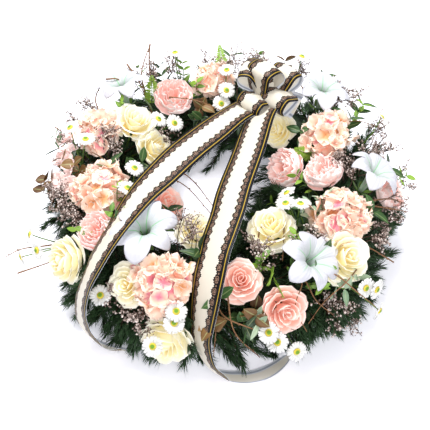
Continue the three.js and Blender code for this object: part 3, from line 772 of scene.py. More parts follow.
FLORETS_PER_TUFT = 4
PINK_TUFTS = [                  # clock, lean and reach of small bunches of pink florets
    (186, 30, 108), (179, 28, 112), (171, 30, 112), (193, 30, 108),
]
rng = np.random.default_rng(230)
tufts = Shape()
for clock, lean, reach in PINK_TUFTS:
    for _ in range(FLORETS_PER_TUFT):
        at = on_ring(clock + rng.uniform(-3, 3), lean + rng.uniform(-6, 6), reach)
        tufts.stand(at, outward(clock, lean) + Vector(rng.normal(0, 0.4, 3)), rng.uniform(0, 90))
        floret(tufts, FLORET_RADIUS * MM * rng.uniform(0.6, 0.85), rng, 1.0)
        tufts.stand()
        tufts.rod([on_ring(clock, lean, TUCKED_FOOT), at], 0.7 * MM, 4, (0, 0, 0), 1)
tufts.object("pink_tufts", [pink_cloth, stem_green], [], "hydrangea_petals")

# ---- Lilies -------------------------------------------------------------------------------
# White polyester pressed into one deep trumpet with six lobes, its lip turned back and waved;
# green is printed along the ribs, and the throat is grey-green, partly its own green and partly
# painted shade deep in the funnel. Three green filaments stand in it.

LILY_BASE = 84                  # reach of a trumpet's foot, in mm
FILAMENTS = 3


def lily(shape, width, rng):
    """The trumpet as one closed sheet, with its filaments."""
    a, v = np.meshgrid(np.linspace(0, 2 * math.pi, 73), np.linspace(0, 1, 15), indexing="ij")
    wave = rng.uniform(0, 2 * math.pi, 3)
    gap = np.abs((a * 3 / math.pi + 0.5) % 1 - 0.5) * 2     # 0 on a lobe's rib, 1 between two lobes
    length = 1 - 0.36 * gap ** 1.7 * v ** 1.6
    length = length + 0.09 * np.sin(2 * a + wave[1]) * v + 0.05 * np.sin(a + wave[0]) * v
    out = width / 2 * MM * (0.08 + 0.24 * v + 0.68 * smooth(0.42, 1.0, v)) * length
    tall = (52 * np.sin(math.pi * 0.5 * np.clip(v * 1.18, 0, 1)) - 17 * smooth(0.74, 1.0, v) * (1 - gap)) * MM
    tall = tall + (3.0 * np.sin(3 * a + wave[1]) + 1.6 * np.sin(9 * a + wave[2])) * v ** 3 * MM
    tall = tall - 3 * MM * gap ** 4 * smooth(0.2, 0.7, v)
    grid = np.stack([out * np.cos(a), out * np.sin(a), tall - 2 * MM], -1)
    shape.sheet(grid, PETAL_THICK, np.stack([a, v, 0 * a], -1))
    steps = np.linspace(0, 1, 6)[:, None]
    for k in range(FILAMENTS):
        turn = math.radians(360 / FILAMENTS * k + 30)
        way = np.array((math.cos(turn), math.sin(turn), 0))
        path = steps * np.array((0, 0, 30 * MM)) + way * 7 * MM * steps ** 2
        shape.rod(path, 0.6 * MM, 5, (0, 0, 1), 1)


def lily_cloth():
    """White polyester: pressed ribs, bright green lines up its ribs, and grey-green in the throat, partly its
    own green and partly painted shade deep in the funnel.
    """
    material, tree = new_material("white_lily_polyester")
    parts = mark_parts(tree)
    place = add(tree, "ShaderNodeNewGeometry").outputs["Position"]
    rib = add(tree, "ShaderNodeMath", {0: parts["X"], 1: 42.0}, operation="MULTIPLY")
    rib = add(tree, "ShaderNodeMath", {0: rib.outputs[0]}, operation="COSINE")
    # painted shade: the throat darkens to grey-green deep in the funnel, where shade falls; part of that
    # green is the flower's own
    throat = add(tree, "ShaderNodeMapRange", {"Value": parts["Y"], "From Min": 0.15, "From Max": 0.8,
                                              "To Min": 0.85, "To Max": 0.0})
    shaded = add(tree, "ShaderNodeMixRGB", {"Fac": throat.outputs[0], "Color1": linear("#CDCDD6"),
                                            "Color2": linear("#8CA58C")})
    line = add(tree, "ShaderNodeMath", {0: parts["X"], 1: 6.0}, operation="MULTIPLY")
    line = add(tree, "ShaderNodeMath", {0: line.outputs[0]}, operation="COSINE")
    line = add(tree, "ShaderNodeMapRange", {"Value": line.outputs[0], "From Min": 0.94, "From Max": 0.99})
    fade = add(tree, "ShaderNodeMapRange", {"Value": parts["Y"], "From Min": 0.4, "From Max": 0.78,
                                            "To Min": 1.0, "To Max": 0.0})
    ink = add(tree, "ShaderNodeMath", {0: line.outputs[0], 1: fade.outputs[0]}, operation="MULTIPLY")
    inked = add(tree, "ShaderNodeMixRGB", {"Fac": ink.outputs[0], "Color1": shaded.outputs["Color"],
                                           "Color2": linear("#4CC453")})
    weave = add(tree, "ShaderNodeTexNoise", {"Vector": place, "Scale": 1 / THREAD_PITCH, "Detail": 1.0})
    ribbed = add(tree, "ShaderNodeMath", {0: rib.outputs[0], 1: weave.outputs["Fac"]}, operation="ADD")
    bump = add(tree, "ShaderNodeBump", {"Height": ribbed.outputs[0], "Strength": 0.3, "Distance": 0.0006})
    close(tree, add(tree, "ShaderNodeBsdfPrincipled",
                    {"Base Color": inked.outputs["Color"], "Normal": bump.outputs["Normal"],
                     "Roughness": 0.55, "Sheen Weight": 0.1}))
    return material


white_cloth = lily_cloth()
LILIES = [                      # clock, lean, width, spin, and which way the head nods
    (236, 2, 104, 20, (0.05, -0.1, 0)), (295, 24, 98, 50, (0.4, 0.15, 0)), (343, 13, 96, 10, (0.3, 0.25, 0)),
    (38, 2, 98, 30, (0.1, 0.1, 0)), (141, 11, 98, 0, (-0.1, 0.1, 0)),
]
for k, (clock, lean, width, spin, nod) in enumerate(LILIES):
    rng = np.random.default_rng(240 + k)
    flower = Shape()
    axis, position = outward(clock, lean), on_ring(clock, lean, LILY_BASE)
    flower.stand(position, axis + Vector(nod), spin)
    lily(flower, width, rng)
    calyx_and_stem(flower, clock, lean, position, axis)
    flower.object(f"lily_flower_{k + 1}", [white_cloth, stem_green], [f"lily_{k + 1}"], "lily_petals")

# ---- Daisies ------------------------------------------------------------------------------
# Small white rays round a yellow and green button, several heads on one branched green stem.

DAISY_WIDTH = 32                # mm, as the other sizes of the head are
RAYS = 20
RAY_FOOT = 3.5
BUTTON_RADIUS = 5.2
BUTTON_RISE = 3.2
BUTTON_SIDES = 12
BUTTON_RINGS = 4
DAISY_STEM = 0.95 * MM


def daisy(shape, rng):
    """One head in its own frame: the rays, and the button on them."""
    for k in range(RAYS):
        u, v = np.meshgrid(np.linspace(-1, 1, 3), np.linspace(0, 1, 5), indexing="ij")
        length = DAISY_WIDTH / 2 * MM * rng.uniform(0.9, 1.02)
        out = RAY_FOOT * MM + (length - RAY_FOOT * MM) * v
        side = u * 2.3 * MM * (0.45 + 0.55 * np.sin(math.pi * np.clip(v * 0.86, 0, 1)))
        tall = (2.5 * np.sin(v * 2.6) - 0.5 * u ** 2) * MM + rng.uniform(-1.2, 1.2) * MM * v
        a = math.radians(360 / RAYS * k + rng.uniform(-4, 4))
        x, y = out * math.cos(a) - side * math.sin(a), out * math.sin(a) + side * math.cos(a)
        shape.sheet(np.stack([x, y, tall], -1), 0.4 * MM, np.stack([u, v, 0 * u], -1), 0)
    button(shape)


def button(shape):
    """A domed button with a pointed foot; its mark runs from 1 at the rim to 0 on top."""
    a = np.linspace(0, 2 * math.pi, BUTTON_SIDES, endpoint=False)
    rings, shares = [], []
    for t in np.linspace(0, math.pi / 2, BUTTON_RINGS + 1)[:-1]:
        radius, height = BUTTON_RADIUS * np.cos(t), 1 + BUTTON_RISE * np.sin(t)
        rings.append(np.stack([radius * np.cos(a), radius * np.sin(a), height + 0 * a], -1))
        shares.append(np.full(BUTTON_SIDES, 1 - t / (math.pi / 2)))
    points = np.concatenate([[(0, 0, -3.0)], *rings, [(0, 0, 1 + BUTTON_RISE)]]) * MM
    share = np.concatenate([[1], *shares, [0]])
    marks = np.stack([share, share, np.ones_like(share)], -1)
    start = shape.count
    shape.put(points, marks, tube_faces(BUTTON_RINGS, BUTTON_SIDES, 1), 1)
    last, top = 1 + (BUTTON_RINGS - 1) * BUTTON_SIDES, 1 + BUTTON_RINGS * BUTTON_SIDES
    fans = [(1 + (k + 1) % BUTTON_SIDES, 1 + k, 0) for k in range(BUTTON_SIDES)]
    fans += [(last + k, last + (k + 1) % BUTTON_SIDES, top) for k in range(BUTTON_SIDES)]
    shape.cap(fans, start, 1)


def ray_plastic():
    """Thin white moulded rays, faintly grooved along."""
    material, tree = new_material("white_ray_polythene")
    groove = add(tree, "ShaderNodeTexNoise", {"Vector": marks_of(tree), "Scale": 3.0, "Detail": 2.0})
    bump = add(tree, "ShaderNodeBump", {"Height": groove.outputs["Fac"], "Strength": 0.3, "Distance": 0.0004})
    close(tree, add(tree, "ShaderNodeBsdfPrincipled",
                    {"Base Color": linear("#E4E4E2"), "Normal": bump.outputs["Normal"], "Roughness": 0.5}))
    return material


def flocked_button():
    """The button: flocked, yellow at its rim and fresh green in the middle, grainy at 1.1 mm."""
    material, tree = new_material("flocked_daisy_button")
    parts = mark_parts(tree)
    tint = ramp(tree, parts["X"], (0.3, "#6E9C2C"), (0.62, "#E9D24A"))
    place = add(tree, "ShaderNodeNewGeometry").outputs["Position"]
    grain = add(tree, "ShaderNodeTexVoronoi", {"Vector": place, "Scale": 1 / 0.0011})
    bump = add(tree, "ShaderNodeBump",
               {"Height": grain.outputs["Distance"], "Strength": 0.8, "Distance": 0.0008})
    close(tree, add(tree, "ShaderNodeBsdfPrincipled",
                    {"Base Color": tint, "Normal": bump.outputs["Normal"], "Roughness": 0.8}))
    return material


daisy_finishes = [ray_plastic(), flocked_button(), stem_green]
DAISY_SPRAYS = [                # clock and lean of the foot, then each head's clock, lean and reach
    (141, -44, [(150, -34, 138), (137, -44, 126)]),
    (205, -32, [(198, -27, 124), (213, -14, 122)]),
    (91, -42, [(89, -13, 132), (89, -30, 130), (93, -40, 126)]),
    (181, 24, [(184, 5, 144), (176, 17, 144)]),
    (311, -30, [(315, -34, 128), (305, -22, 130), (309, -13, 132)]),
    (206, 80, [(204, 66, 134), (210, 66, 134), (204, 86, 146)]),
    (311, 68, [(310, 59, 126), (313, 65, 128), (314, 88, 126)]),
]
for k, (clock, lean, heads) in enumerate(DAISY_SPRAYS):
    rng = np.random.default_rng(270 + k)
    spray = Shape()
    fork = on_ring(clock, lean, HEAD_BASE - 8)
    spray.rod([pick_foot(clock, lean), fork], 1.3 * MM, 6, (0, 0, 0), 2)
    for head_clock, head_lean, reach in heads:
        end = on_ring(head_clock, head_lean, reach)
        bend = (fork + end) / 2 + outward(clock, lean) * 6 * MM
        path = [(1 - t) ** 2 * fork + 2 * t * (1 - t) * bend + t * t * end for t in np.linspace(0, 1, 8)]
        spray.stand()
        spray.rod(path, DAISY_STEM, 5, (0, 0, 0), 2)
        facing = np.array(outward(head_clock, head_lean)) + rng.normal(0, 0.12, 3)
        spray.stand(end, facing, rng.uniform(0, 360 / RAYS))
        daisy(spray, rng)
    spray.object(f"daisies_{k + 1}", daisy_finishes, [f"daisy_spray_{k + 1}"], "daisy_petals")

TUCKED_DAISIES = [              # clock, lean and reach of each head, and the way it faces
    (235, 58, 122, (0, -0.4, 1)), (257, 49, 122, (0.1, -0.3, 1)), (257, 56, 126, (0, -0.6, 1)),
    (281, 63, 122, (0.2, -0.5, 1)), (283, 71, 124, (0, -0.5, 1)), (288, 84, 124, (0.3, -0.7, 0.4)),
    (59, 30, 132, (0.3, 0.2, 1)), (13, 26, 136, (0.6, 0.2, 0.6)), (109, 38, 128, (-0.2, 0.3, 1)),
    (112, 14, 136, (-0.1, 0.2, 1)), (252, 78, 126, (-0.1, -0.6, 0.8)),
]
rng = np.random.default_rng(280)
singles = Shape()
for clock, lean, reach, facing in TUCKED_DAISIES:
    end = on_ring(clock, lean, reach)
    singles.stand()
    path = [on_ring(clock, lean, TUCKED_FOOT), on_ring(clock, lean + 3, reach * 0.75), end]
    singles.rod(path, DAISY_STEM, 5, (0, 0, 0), 2)
    singles.stand(end, facing, rng.uniform(0, 360 / RAYS))
    daisy(singles, rng)
singles.object("tucked_daisies", daisy_finishes, [], "daisy_petals")

# ---- Limonium -----------------------------------------------------------------------------
# Dried sea lavender: wiry brown stems that fork again and again and carry tiny papery cups.

LIMONIUM_STEM = 0.6 * MM
LIMONIUM_TWIGS = 9
LIMONIUM_FORK = 60              # reach at which a spray forks, in mm
TINY_CUP = np.array([(0, 0, -1.0), (1, 0, 0.3), (0, 1, 0.3), (-1, 0, 0.3), (0, -1, 0.3), (0, 0, 0.6)])
TINY_CUP_FACES = [(0, 2, 1), (0, 3, 2), (0, 4, 3), (0, 1, 4), (5, 1, 2), (5, 2, 3), (5, 3, 4), (5, 4, 1)]


def unit(vector):
    """The vector at length 1."""
    vector = np.asarray(vector, float)
    return vector / np.linalg.norm(vector)


def sea_lavender(shape, foot, end, rng, cups, spread):
    """A stem from foot to end with twigs up to spread mm long on its outer half, set with small cups."""
    foot, end = np.array(foot), np.array(end)
    way = unit(end - foot)
    sag = np.cross(way, rng.normal(size=3)) * 7 * MM
    line = [foot * (1 - t) + end * t + sag * math.sin(math.pi * t) for t in np.linspace(0, 1, 7)]
    shape.stand()
    shape.rod(line, np.linspace(0.9, 0.5, 7) * MM, 4, (0, 0, 0), 1)
    for _ in range(LIMONIUM_TWIGS):
        start = foot + (end - foot) * rng.uniform(0.5, 0.95)
        tip = start + (unit(way + rng.normal(0, 0.75, 3)) * rng.uniform(0.5, 1.0)) * spread * MM
        shape.stand()
        bend = (start + tip) / 2 + rng.normal(0, 1.2 * MM, 3)
        shape.rod([start, bend, tip], LIMONIUM_STEM, 3, (0, 0, 0), 1)
        for _ in range(cups // LIMONIUM_TWIGS):
            at = start + (tip - start) * rng.uniform(0.3, 1.08) + rng.normal(0, 2.2 * MM, 3)
            shape.stand(at, way + rng.normal(0, 0.5, 3))
            size = rng.uniform(1.1, 2.2) * MM
            shape.put(TINY_CUP * size, np.full((6, 3), rng.uniform(0, 1)), TINY_CUP_FACES, 0)
    shape.stand()


def papery_cup():
    """Dried calyx: papery, from dusty pink to greyed cream."""
    material, tree = new_material("papery_limonium_cup")
    parts = mark_parts(tree)
    tint = ramp(tree, parts["X"], (0.0, "#6F5B54"), (0.5, "#AE9A92"), (1.0, "#F0E4DE"))
    grain = add(tree, "ShaderNodeTexNoise", {"Scale": 800.0})
    bump = add(tree, "ShaderNodeBump", {"Height": grain.outputs["Fac"], "Strength": 0.4, "Distance": 0.0003})
    close(tree, add(tree, "ShaderNodeBsdfPrincipled",
                    {"Base Color": tint, "Normal": bump.outputs["Normal"], "Roughness": 0.8}))
    return material


limonium_finishes = [papery_cup(), bark("limonium_stem", "#33251E", "#6B5245")]
LIMONIUM_SPRAYS = [             # clock and lean of the foot, then each end's clock, lean and reach
    (84, 10, [(86, 10, 122), (79, 10, 124), (91, 0, 120)]),
    (44, 36, [(42, 24, 118), (36, 28, 122), (30, 32, 126)]),
    (196, 44, [(203, 40, 116), (193, 42, 116), (198, 32, 122)]),
]
for k, (clock, lean, ends) in enumerate(LIMONIUM_SPRAYS):
    rng = np.random.default_rng(300 + k)
    spray = Shape()
    fork = on_ring(clock, lean, LIMONIUM_FORK)
    spray.rod([pick_foot(clock, lean), fork], 1.1 * MM, 4, (0, 0, 0), 1)
    for end in ends:
        sea_lavender(spray, fork, on_ring(*end), rng, cups=90, spread=32)
    spray.object(f"limonium_{k + 1}", limonium_finishes, [f"limonium_spray_{k + 1}"], "limonium")

TUCKED_REACH = 116              # reach at which the short pieces tucked between the flowers end, in mm
TUCKED_LIMONIUM = [             # clock and lean
    (168, -4), (173, -10), (177, -16), (164, 30), (173, 30), (205, 32), (210, 30), (146, -50), (246, -29),
    (253, -16), (353, -9), (346, -4), (358, 17), (6, 32), (33, 12), (303, 5), (303, 14), (283, -2), (286, 8),
    (324, 47), (333, 50), (234, 60), (243, 64), (247, 69), (301, 63), (304, 78), (309, 98), (340, 44),
    (60, 34), (75, 46), (110, 42), (125, 50), (150, 52), (20, 44), (355, 50), (95, 50), (122, 24), (70, 16),
]
rng = np.random.default_rng(320)
filler = Shape()
for clock, lean in TUCKED_LIMONIUM:
    foot = on_ring(clock, lean, TUCKED_FOOT)
    for _ in range(2):
        end_clock, end_lean = clock + rng.uniform(-4, 4), lean + rng.uniform(-7, 7)
        end = on_ring(end_clock, end_lean, TUCKED_REACH + rng.uniform(-6, 5))
        sea_lavender(filler, foot, end, rng, cups=63, spread=25)
filler.object("tucked_limonium", limonium_finishes, [], "limonium")

# ---- Leaves, ferns and twigs --------------------------------------------------------------
# Moulded leaf sprigs and fern fronds fill the gaps; bare birch twigs arch out of the ring.

LEAF_FOLD = 0.25                # rise of a leaf's edge over its midrib, as a share of its half width
FERN_PAIRS = 18
TWIG_POINTS = 22
TWIG_BEND = 110                 # reach at which a long twig bends over, in mm


def leaf(shape, length, width, tone, rng):
    """A pointed leaf along its own +X, folded a little along the midrib."""
    u, v = np.meshgrid(np.linspace(-1, 1, 5), np.linspace(0, 1, 6), indexing="ij")
    breadth = width / 2 * np.sin(math.pi * np.clip(v ** 0.8, 0, 1)) ** 0.8
    curve = rng.uniform(-0.3, 0.15)
    grid = np.stack([length * v, u * breadth, LEAF_FOLD * np.abs(u) * breadth + curve * length * v ** 2], -1)
    shape.sheet(grid, 0.4 * MM, np.stack([u, v, np.full_like(u, tone)], -1), 0)


def leaf_sprig(shape, foot, end, count, length, width, rng):
    """A stem with count pairs of leaves along its outer part."""
    foot, end = np.array(foot), np.array(end)
    way = unit(end - foot)
    shape.stand()
    shape.rod([foot, (foot + end) / 2, end], [1.1 * MM, 0.9 * MM, 0.6 * MM], 4, (0, 0, 0), 1)
    for k in range(count):
        at = foot + (end - foot) * (0.4 + 0.6 * k / (count - 1))
        side = unit(np.cross(way, rng.normal(size=3)))
        for sign in (1, -1):
            out = unit(way * 0.6 + side * sign)
            up = unit(np.cross(out, np.cross(way, out)) + rng.normal(0, 0.3, 3))
            x, z = out, unit(up - out * np.dot(up, out))
            shape.turn, shape.origin = np.stack([x, np.cross(z, x), z], 1), at
            leaf(shape, length * MM * rng.uniform(0.8, 1.1), width * MM, rng.uniform(0, 1), rng)
    shape.stand()


def fern_frond(shape, foot, end, rng):
    """A frond: pairs of narrow leaflets that shorten to the tip."""
    foot, end = np.array(foot), np.array(end)
    way = unit(end - foot)
    side = unit(np.cross(way, (0.2, -0.7, 0.6)))
    shape.stand()
    shape.rod([foot, (foot + end) / 2, end], [0.9 * MM, 0.7 * MM, 0.4 * MM], 4, (0, 0, 0), 1)
    for k in range(FERN_PAIRS):
        t = 0.2 + 0.8 * k / (FERN_PAIRS - 1)
        for sign in (1, -1):
            out = unit(way * 0.45 + side * sign + rng.normal(0, 0.06, 3))
            z = unit(np.cross(out, way) * sign)
            shape.turn, shape.origin = np.stack([out, np.cross(z, out), z], 1), foot + (end - foot) * t
            leaflet = 14 * math.sin(math.pi * (0.28 + 0.7 * t)) + 2
            leaf(shape, leaflet * MM, 3.4 * MM, 0.8, rng)
    shape.stand()


def moulded_leaf(name, dark, light, rough):
    """Moulded polythene leaf: paler midrib and side veins, a waxy gloss."""
    material, tree = new_material(name)
    parts = mark_parts(tree)
    place = add(tree, "ShaderNodeNewGeometry").outputs["Position"]
    cloud = add(tree, "ShaderNodeTexNoise", {"Vector": place, "Scale": 1 / 0.01, "Detail": 2.0})
    shade = add(tree, "ShaderNodeMath", {0: cloud.outputs["Fac"], 1: parts["Z"]}, operation="ADD")
    shade = add(tree, "ShaderNodeMath", {0: shade.outputs[0], 1: 0.35}, operation="SUBTRACT")
    tint = ramp(tree, shade.outputs[0], (0.0, dark), (1.0, light))
    rib = add(tree, "ShaderNodeMath", {0: parts["X"]}, operation="ABSOLUTE")
    rib = add(tree, "ShaderNodeMapRange", {"Value": rib.outputs[0], "From Min": 0.0, "From Max": 0.14,
                                           "To Min": 0.5, "To Max": 0.0})
    veined = add(tree, "ShaderNodeMixRGB",
                 {"Fac": rib.outputs[0], "Color1": tint, "Color2": linear("#B9C98A")})
    bump = add(tree, "ShaderNodeBump", {"Height": rib.outputs[0], "Strength": 0.4, "Distance": 0.0008})
    close(tree, add(tree, "ShaderNodeBsdfPrincipled",
                    {"Base Color": veined.outputs["Color"], "Normal": bump.outputs["Normal"],
                     "Roughness": rough}))
    return material


green_leaf = moulded_leaf("moulded_leaf_green", "#3C6A22", "#8CB33C", 0.45)
dark_leaf = moulded_leaf("moulded_leaf_dark", "#20381C", "#3F6330", 0.4)
bronze_leaf = moulded_leaf("dried_bronze_leaf", "#4A2F18", "#7C5A2C", 0.55)
sage_leaf = moulded_leaf("moulded_sage_leaf", "#6E8A6C", "#A9BCA0", 0.6)
LEAF_SPRIGS = {                 # pairs, leaf length and width, reach, then clock and lean of each end
    "green_leaves": (green_leaf, 4, 17, 8, 118, [
        (106, -18), (110, 8), (150, -4), (298, 4), (343, -44), (299, 44), (220, 7), (217, 33), (224, -2),
        (211, -8), (62, -34), (283, 13), (316, -84), (330, -74), (303, -74), (24, 30), (126, 40), (78, 46),
        (355, 50), (168, 50)]),
    "dark_leaves": (dark_leaf, 3, 30, 15, 108, [
        (19, 6), (142, -24), (192, -9), (183, -37), (50, 41), (108, -48), (229, 10), (268, 39), (274, 61),
        (305, 26), (314, -23), (25, -38), (74, -60), (332, 30), (355, 30), (135, 30), (90, 42), (30, 48),
        (232, -30), (262, 4), (172, 44), (115, 54)]),
    "bronze_leaves": (bronze_leaf, 3, 24, 19, 114, [
        (188, 18), (192, 40), (188, 46), (108, -40), (193, 50), (183, 27), (267, 61), (280, 52), (65, 44)]),
    "sage_leaves": (sage_leaf, 3, 24, 9, 116, [(309, 54), (304, 52), (278, 57), (316, -14), (322, -10)]),
}
for k, (name, (finish, count, length, width, reach, ends)) in enumerate(LEAF_SPRIGS.items()):
    rng = np.random.default_rng(340 + k)
    sprigs = Shape()
    for clock, lean in ends:
        end = on_ring(clock + rng.uniform(-2, 2), lean + rng.uniform(-3, 3), reach)
        leaf_sprig(sprigs, on_ring(clock, lean, TUCKED_FOOT), end, count, length, width, rng)
    sprigs.object(name, [finish, stem_green], [], "daisy_petals")

FERNS = [                       # clock, lean and reach of each frond's foot and tip
    ((131, -4, 60), (131, -6, 142)), ((288, 14, 60), (283, 30, 136)), ((288, 26, 60), (286, 40, 128)),
    ((12, -34, 60), (8, -44, 128)), ((300, 20, 60), (304, 36, 124)), ((90, 30, 60), (92, 44, 130)),
]
rng = np.random.default_rng(350)
ferns = Shape()
for foot, end in FERNS:
    fern_frond(ferns, on_ring(*foot), on_ring(*end), rng)
ferns.object("fern_fronds", [green_leaf, stem_green], [], "daisy_petals")

birch_bark = bark("birch_twig_bark", "#5A3B24", "#A1754E")


def twig(shape, route, thick, rng):
    """A twig along a smooth route, thicker at its foot, with a few buds."""
    route = [np.array(p, float) for p in route]
    line = [curve_point(route, t) for t in np.linspace(0, 1, TWIG_POINTS)]
    shape.rod(line, np.linspace(thick, thick * 0.4, TWIG_POINTS) * MM, 5, (0, 0, 0), 0)
    for k in range(3, TWIG_POINTS - 1, 4):
        way = unit(line[k + 1] - line[k])
        bud = line[k] + unit(np.cross(way, rng.normal(size=3))) * thick * MM
        shape.rod([bud, bud + way * 2.5 * MM], [thick * 0.8 * MM, 0.1 * MM], 4, (0, 0, 0), 0)


def curve_point(points, t):
    """A point at share t of a centripetal Catmull-Rom curve through points."""
    last = len(points) - 1
    i = min(int(t * last), last - 1)
    share = t * last - i
    p1, p2 = points[i], points[i + 1]
    p0 = points[i - 1] if i > 0 else 2 * p1 - p2
    p3 = points[i + 2] if i + 2 <= last else 2 * p2 - p1
    d0, d1, d2 = [max(np.linalg.norm(b - a), 1e-9) ** 0.5 for a, b in ((p0, p1), (p1, p2), (p2, p3))]
    m1 = ((p1 - p0) / d0 - (p2 - p0) / (d0 + d1) + (p2 - p1) / d1) * d1
    m2 = ((p2 - p1) / d1 - (p3 - p1) / (d1 + d2) + (p3 - p2) / d2) * d1
    return (p1 + m1 * share + (3 * (p2 - p1) - 2 * m1 - m2) * share ** 2
            + (2 * (p1 - p2) + m1 + m2) * share ** 3)


def from_ring(x, y, z):
    """A point given in mm from the middle of the ring at floor level."""
    return np.array(RING_CENTRE) + np.array((x, y, z)) * MM


# the long twigs: clock and lean of the foot, and the end in mm from the middle of the ring
TWIGS = [(206, 74, (-337, -162, 90)), (150, 30, (-213, 196, 150)), (128, 20, (-131, 223, 205))]
for k, (clock, lean, end) in enumerate(TWIGS):
    rng = np.random.default_rng(360 + k)
    stick = Shape()
    bend, end = np.array(on_ring(clock, lean, TWIG_BEND)), from_ring(*end)
    between = bend + (end - bend) * 0.6 + np.array((0, 0, 8)) * MM
    twig(stick, [pick_foot(clock, lean), bend, between, end], 1.5, rng)
    stick.object(f"birch_twig_{k + 1}", [birch_bark], [f"twig_{k + 1}"], "twig_bark")

LOOSE_TWIGS = [                 # points in mm from the middle of the ring
    [(-14, -262, 118), (0, -290, 122), (34, -303, 115), (74, -308, 100)],
    [(4, -240, 130), (4, -267, 140), (12, -305, 112), (50, -312, 50)],
    [(100, -222, 120), (108, -247, 140), (98, -275, 122), (115, -297, 95)],
    [(105, -220, 120), (114, -244, 140), (128, -262, 122), (156, -268, 92)],
    [(190, -215, 130), (168, -247, 140), (140, -266, 125), (118, -284, 95)],
    [(140, -215, 130), (158, -241, 150), (185, -257, 135), (215, -262, 105)],
    [(170, 90, 120), (191, 71, 150), (218, 65, 165), (262, 64, 150)],
    [(-110, 0, 115), (-83, -11, 130), (-53, -33, 125), (-19, -80, 115)],
    [(-120, -20, 105), (-93, -24, 120), (-64, -43, 122), (-22, -92, 110)],
    [(-96, 140, 150), (-88, 96, 190), (-45, 84, 192), (2, 70, 178)],
    [(-134, 229, 200), (-136, 210, 175), (-134, 200, 120)],
    [(-172, 185, 190), (-155, 171, 170), (-141, 169, 120)],
    [(-207, 158, 178), (-187, 162, 175), (-162, 172, 130)],
    [(-318, -181, 74), (-289, -175, 82), (-245, -160, 88)],
    [(-286, 66, 150), (-253, 38, 152), (-206, 30, 150), (-173, 43, 130)],
    [(-216, 6, 150), (-197, -2, 140), (-183, -33, 125)],
    [(212, -108, 150), (250, -108, 142), (288, -92, 115)],
    [(205, -100, 145), (250, -96, 150), (290, -80, 118)],
    [(65, -112, 140), (49, -168, 142), (54, -201, 120)],
    [(-17, -250, 110), (-13, -296, 108), (-16, -322, 70)],
    [(257, -172, 90), (220, -172, 122), (188, -165, 138)],
    [(87, -108, 145), (87, -158, 150), (84, -200, 130)],
    [(150, 190, 110), (120, 240, 140), (60, 265, 120)],
    [(-60, 200, 120), (-20, 260, 130), (30, 270, 100)],
]
rng = np.random.default_rng(370)
loose = Shape()
for route in LOOSE_TWIGS:
    twig(loose, [from_ring(*p) for p in route], rng.uniform(1.0, 1.7), rng)
loose.object("loose_twigs", [birch_bark], [], "twig_bark")

# ---- Mourning ribbon ----------------------------------------------------------------------
# Acetate satin 60 mm wide: an ivory middle between printed borders of copper lace on black and a
# gold line, silver-grey behind. One length makes the bow's loops, another the two tails.

RIBBON_WIDTH = 60
RIBBON_THICK = 0.45 * MM
RIBBON_CROWN = 3.5 * MM         # rise of the middle over the edges
RIBBON_COLUMNS = 15
TAIL_STEPS, LOOP_STEPS, END_STEPS = 150, 60, 24
PRINT_REPEAT = 14.0             # mm from one printed medallion to the next
LACE_TOOTH = 3.0                # mm from one tooth of the lace to the next
LACE_EDGE = 16.6                # from here on, mm from the ribbon's edge: where the lace ends
MEDALLION_MIDDLE = 12.3
MEDALLION_HALF = (3.0, 4.2)     # half its size across and along the ribbon
DOT_MIDDLE = 11.5
BORDER_EDGE = 8.0
GOLD_LINE = 4.8


def satin_weave(tree):
    """The fine ribs of the weave, which both sides of the ribbon share."""
    weave = add(tree, "ShaderNodeTexWave", {"Vector": marks_of(tree), "Scale": 1.3, "Distortion": 0.4},
                bands_direction="Y")
    bump = add(tree, "ShaderNodeBump", {"Height": weave.outputs["Fac"], "Strength": 0.12, "Distance": 0.0002})
    return bump.outputs["Normal"]


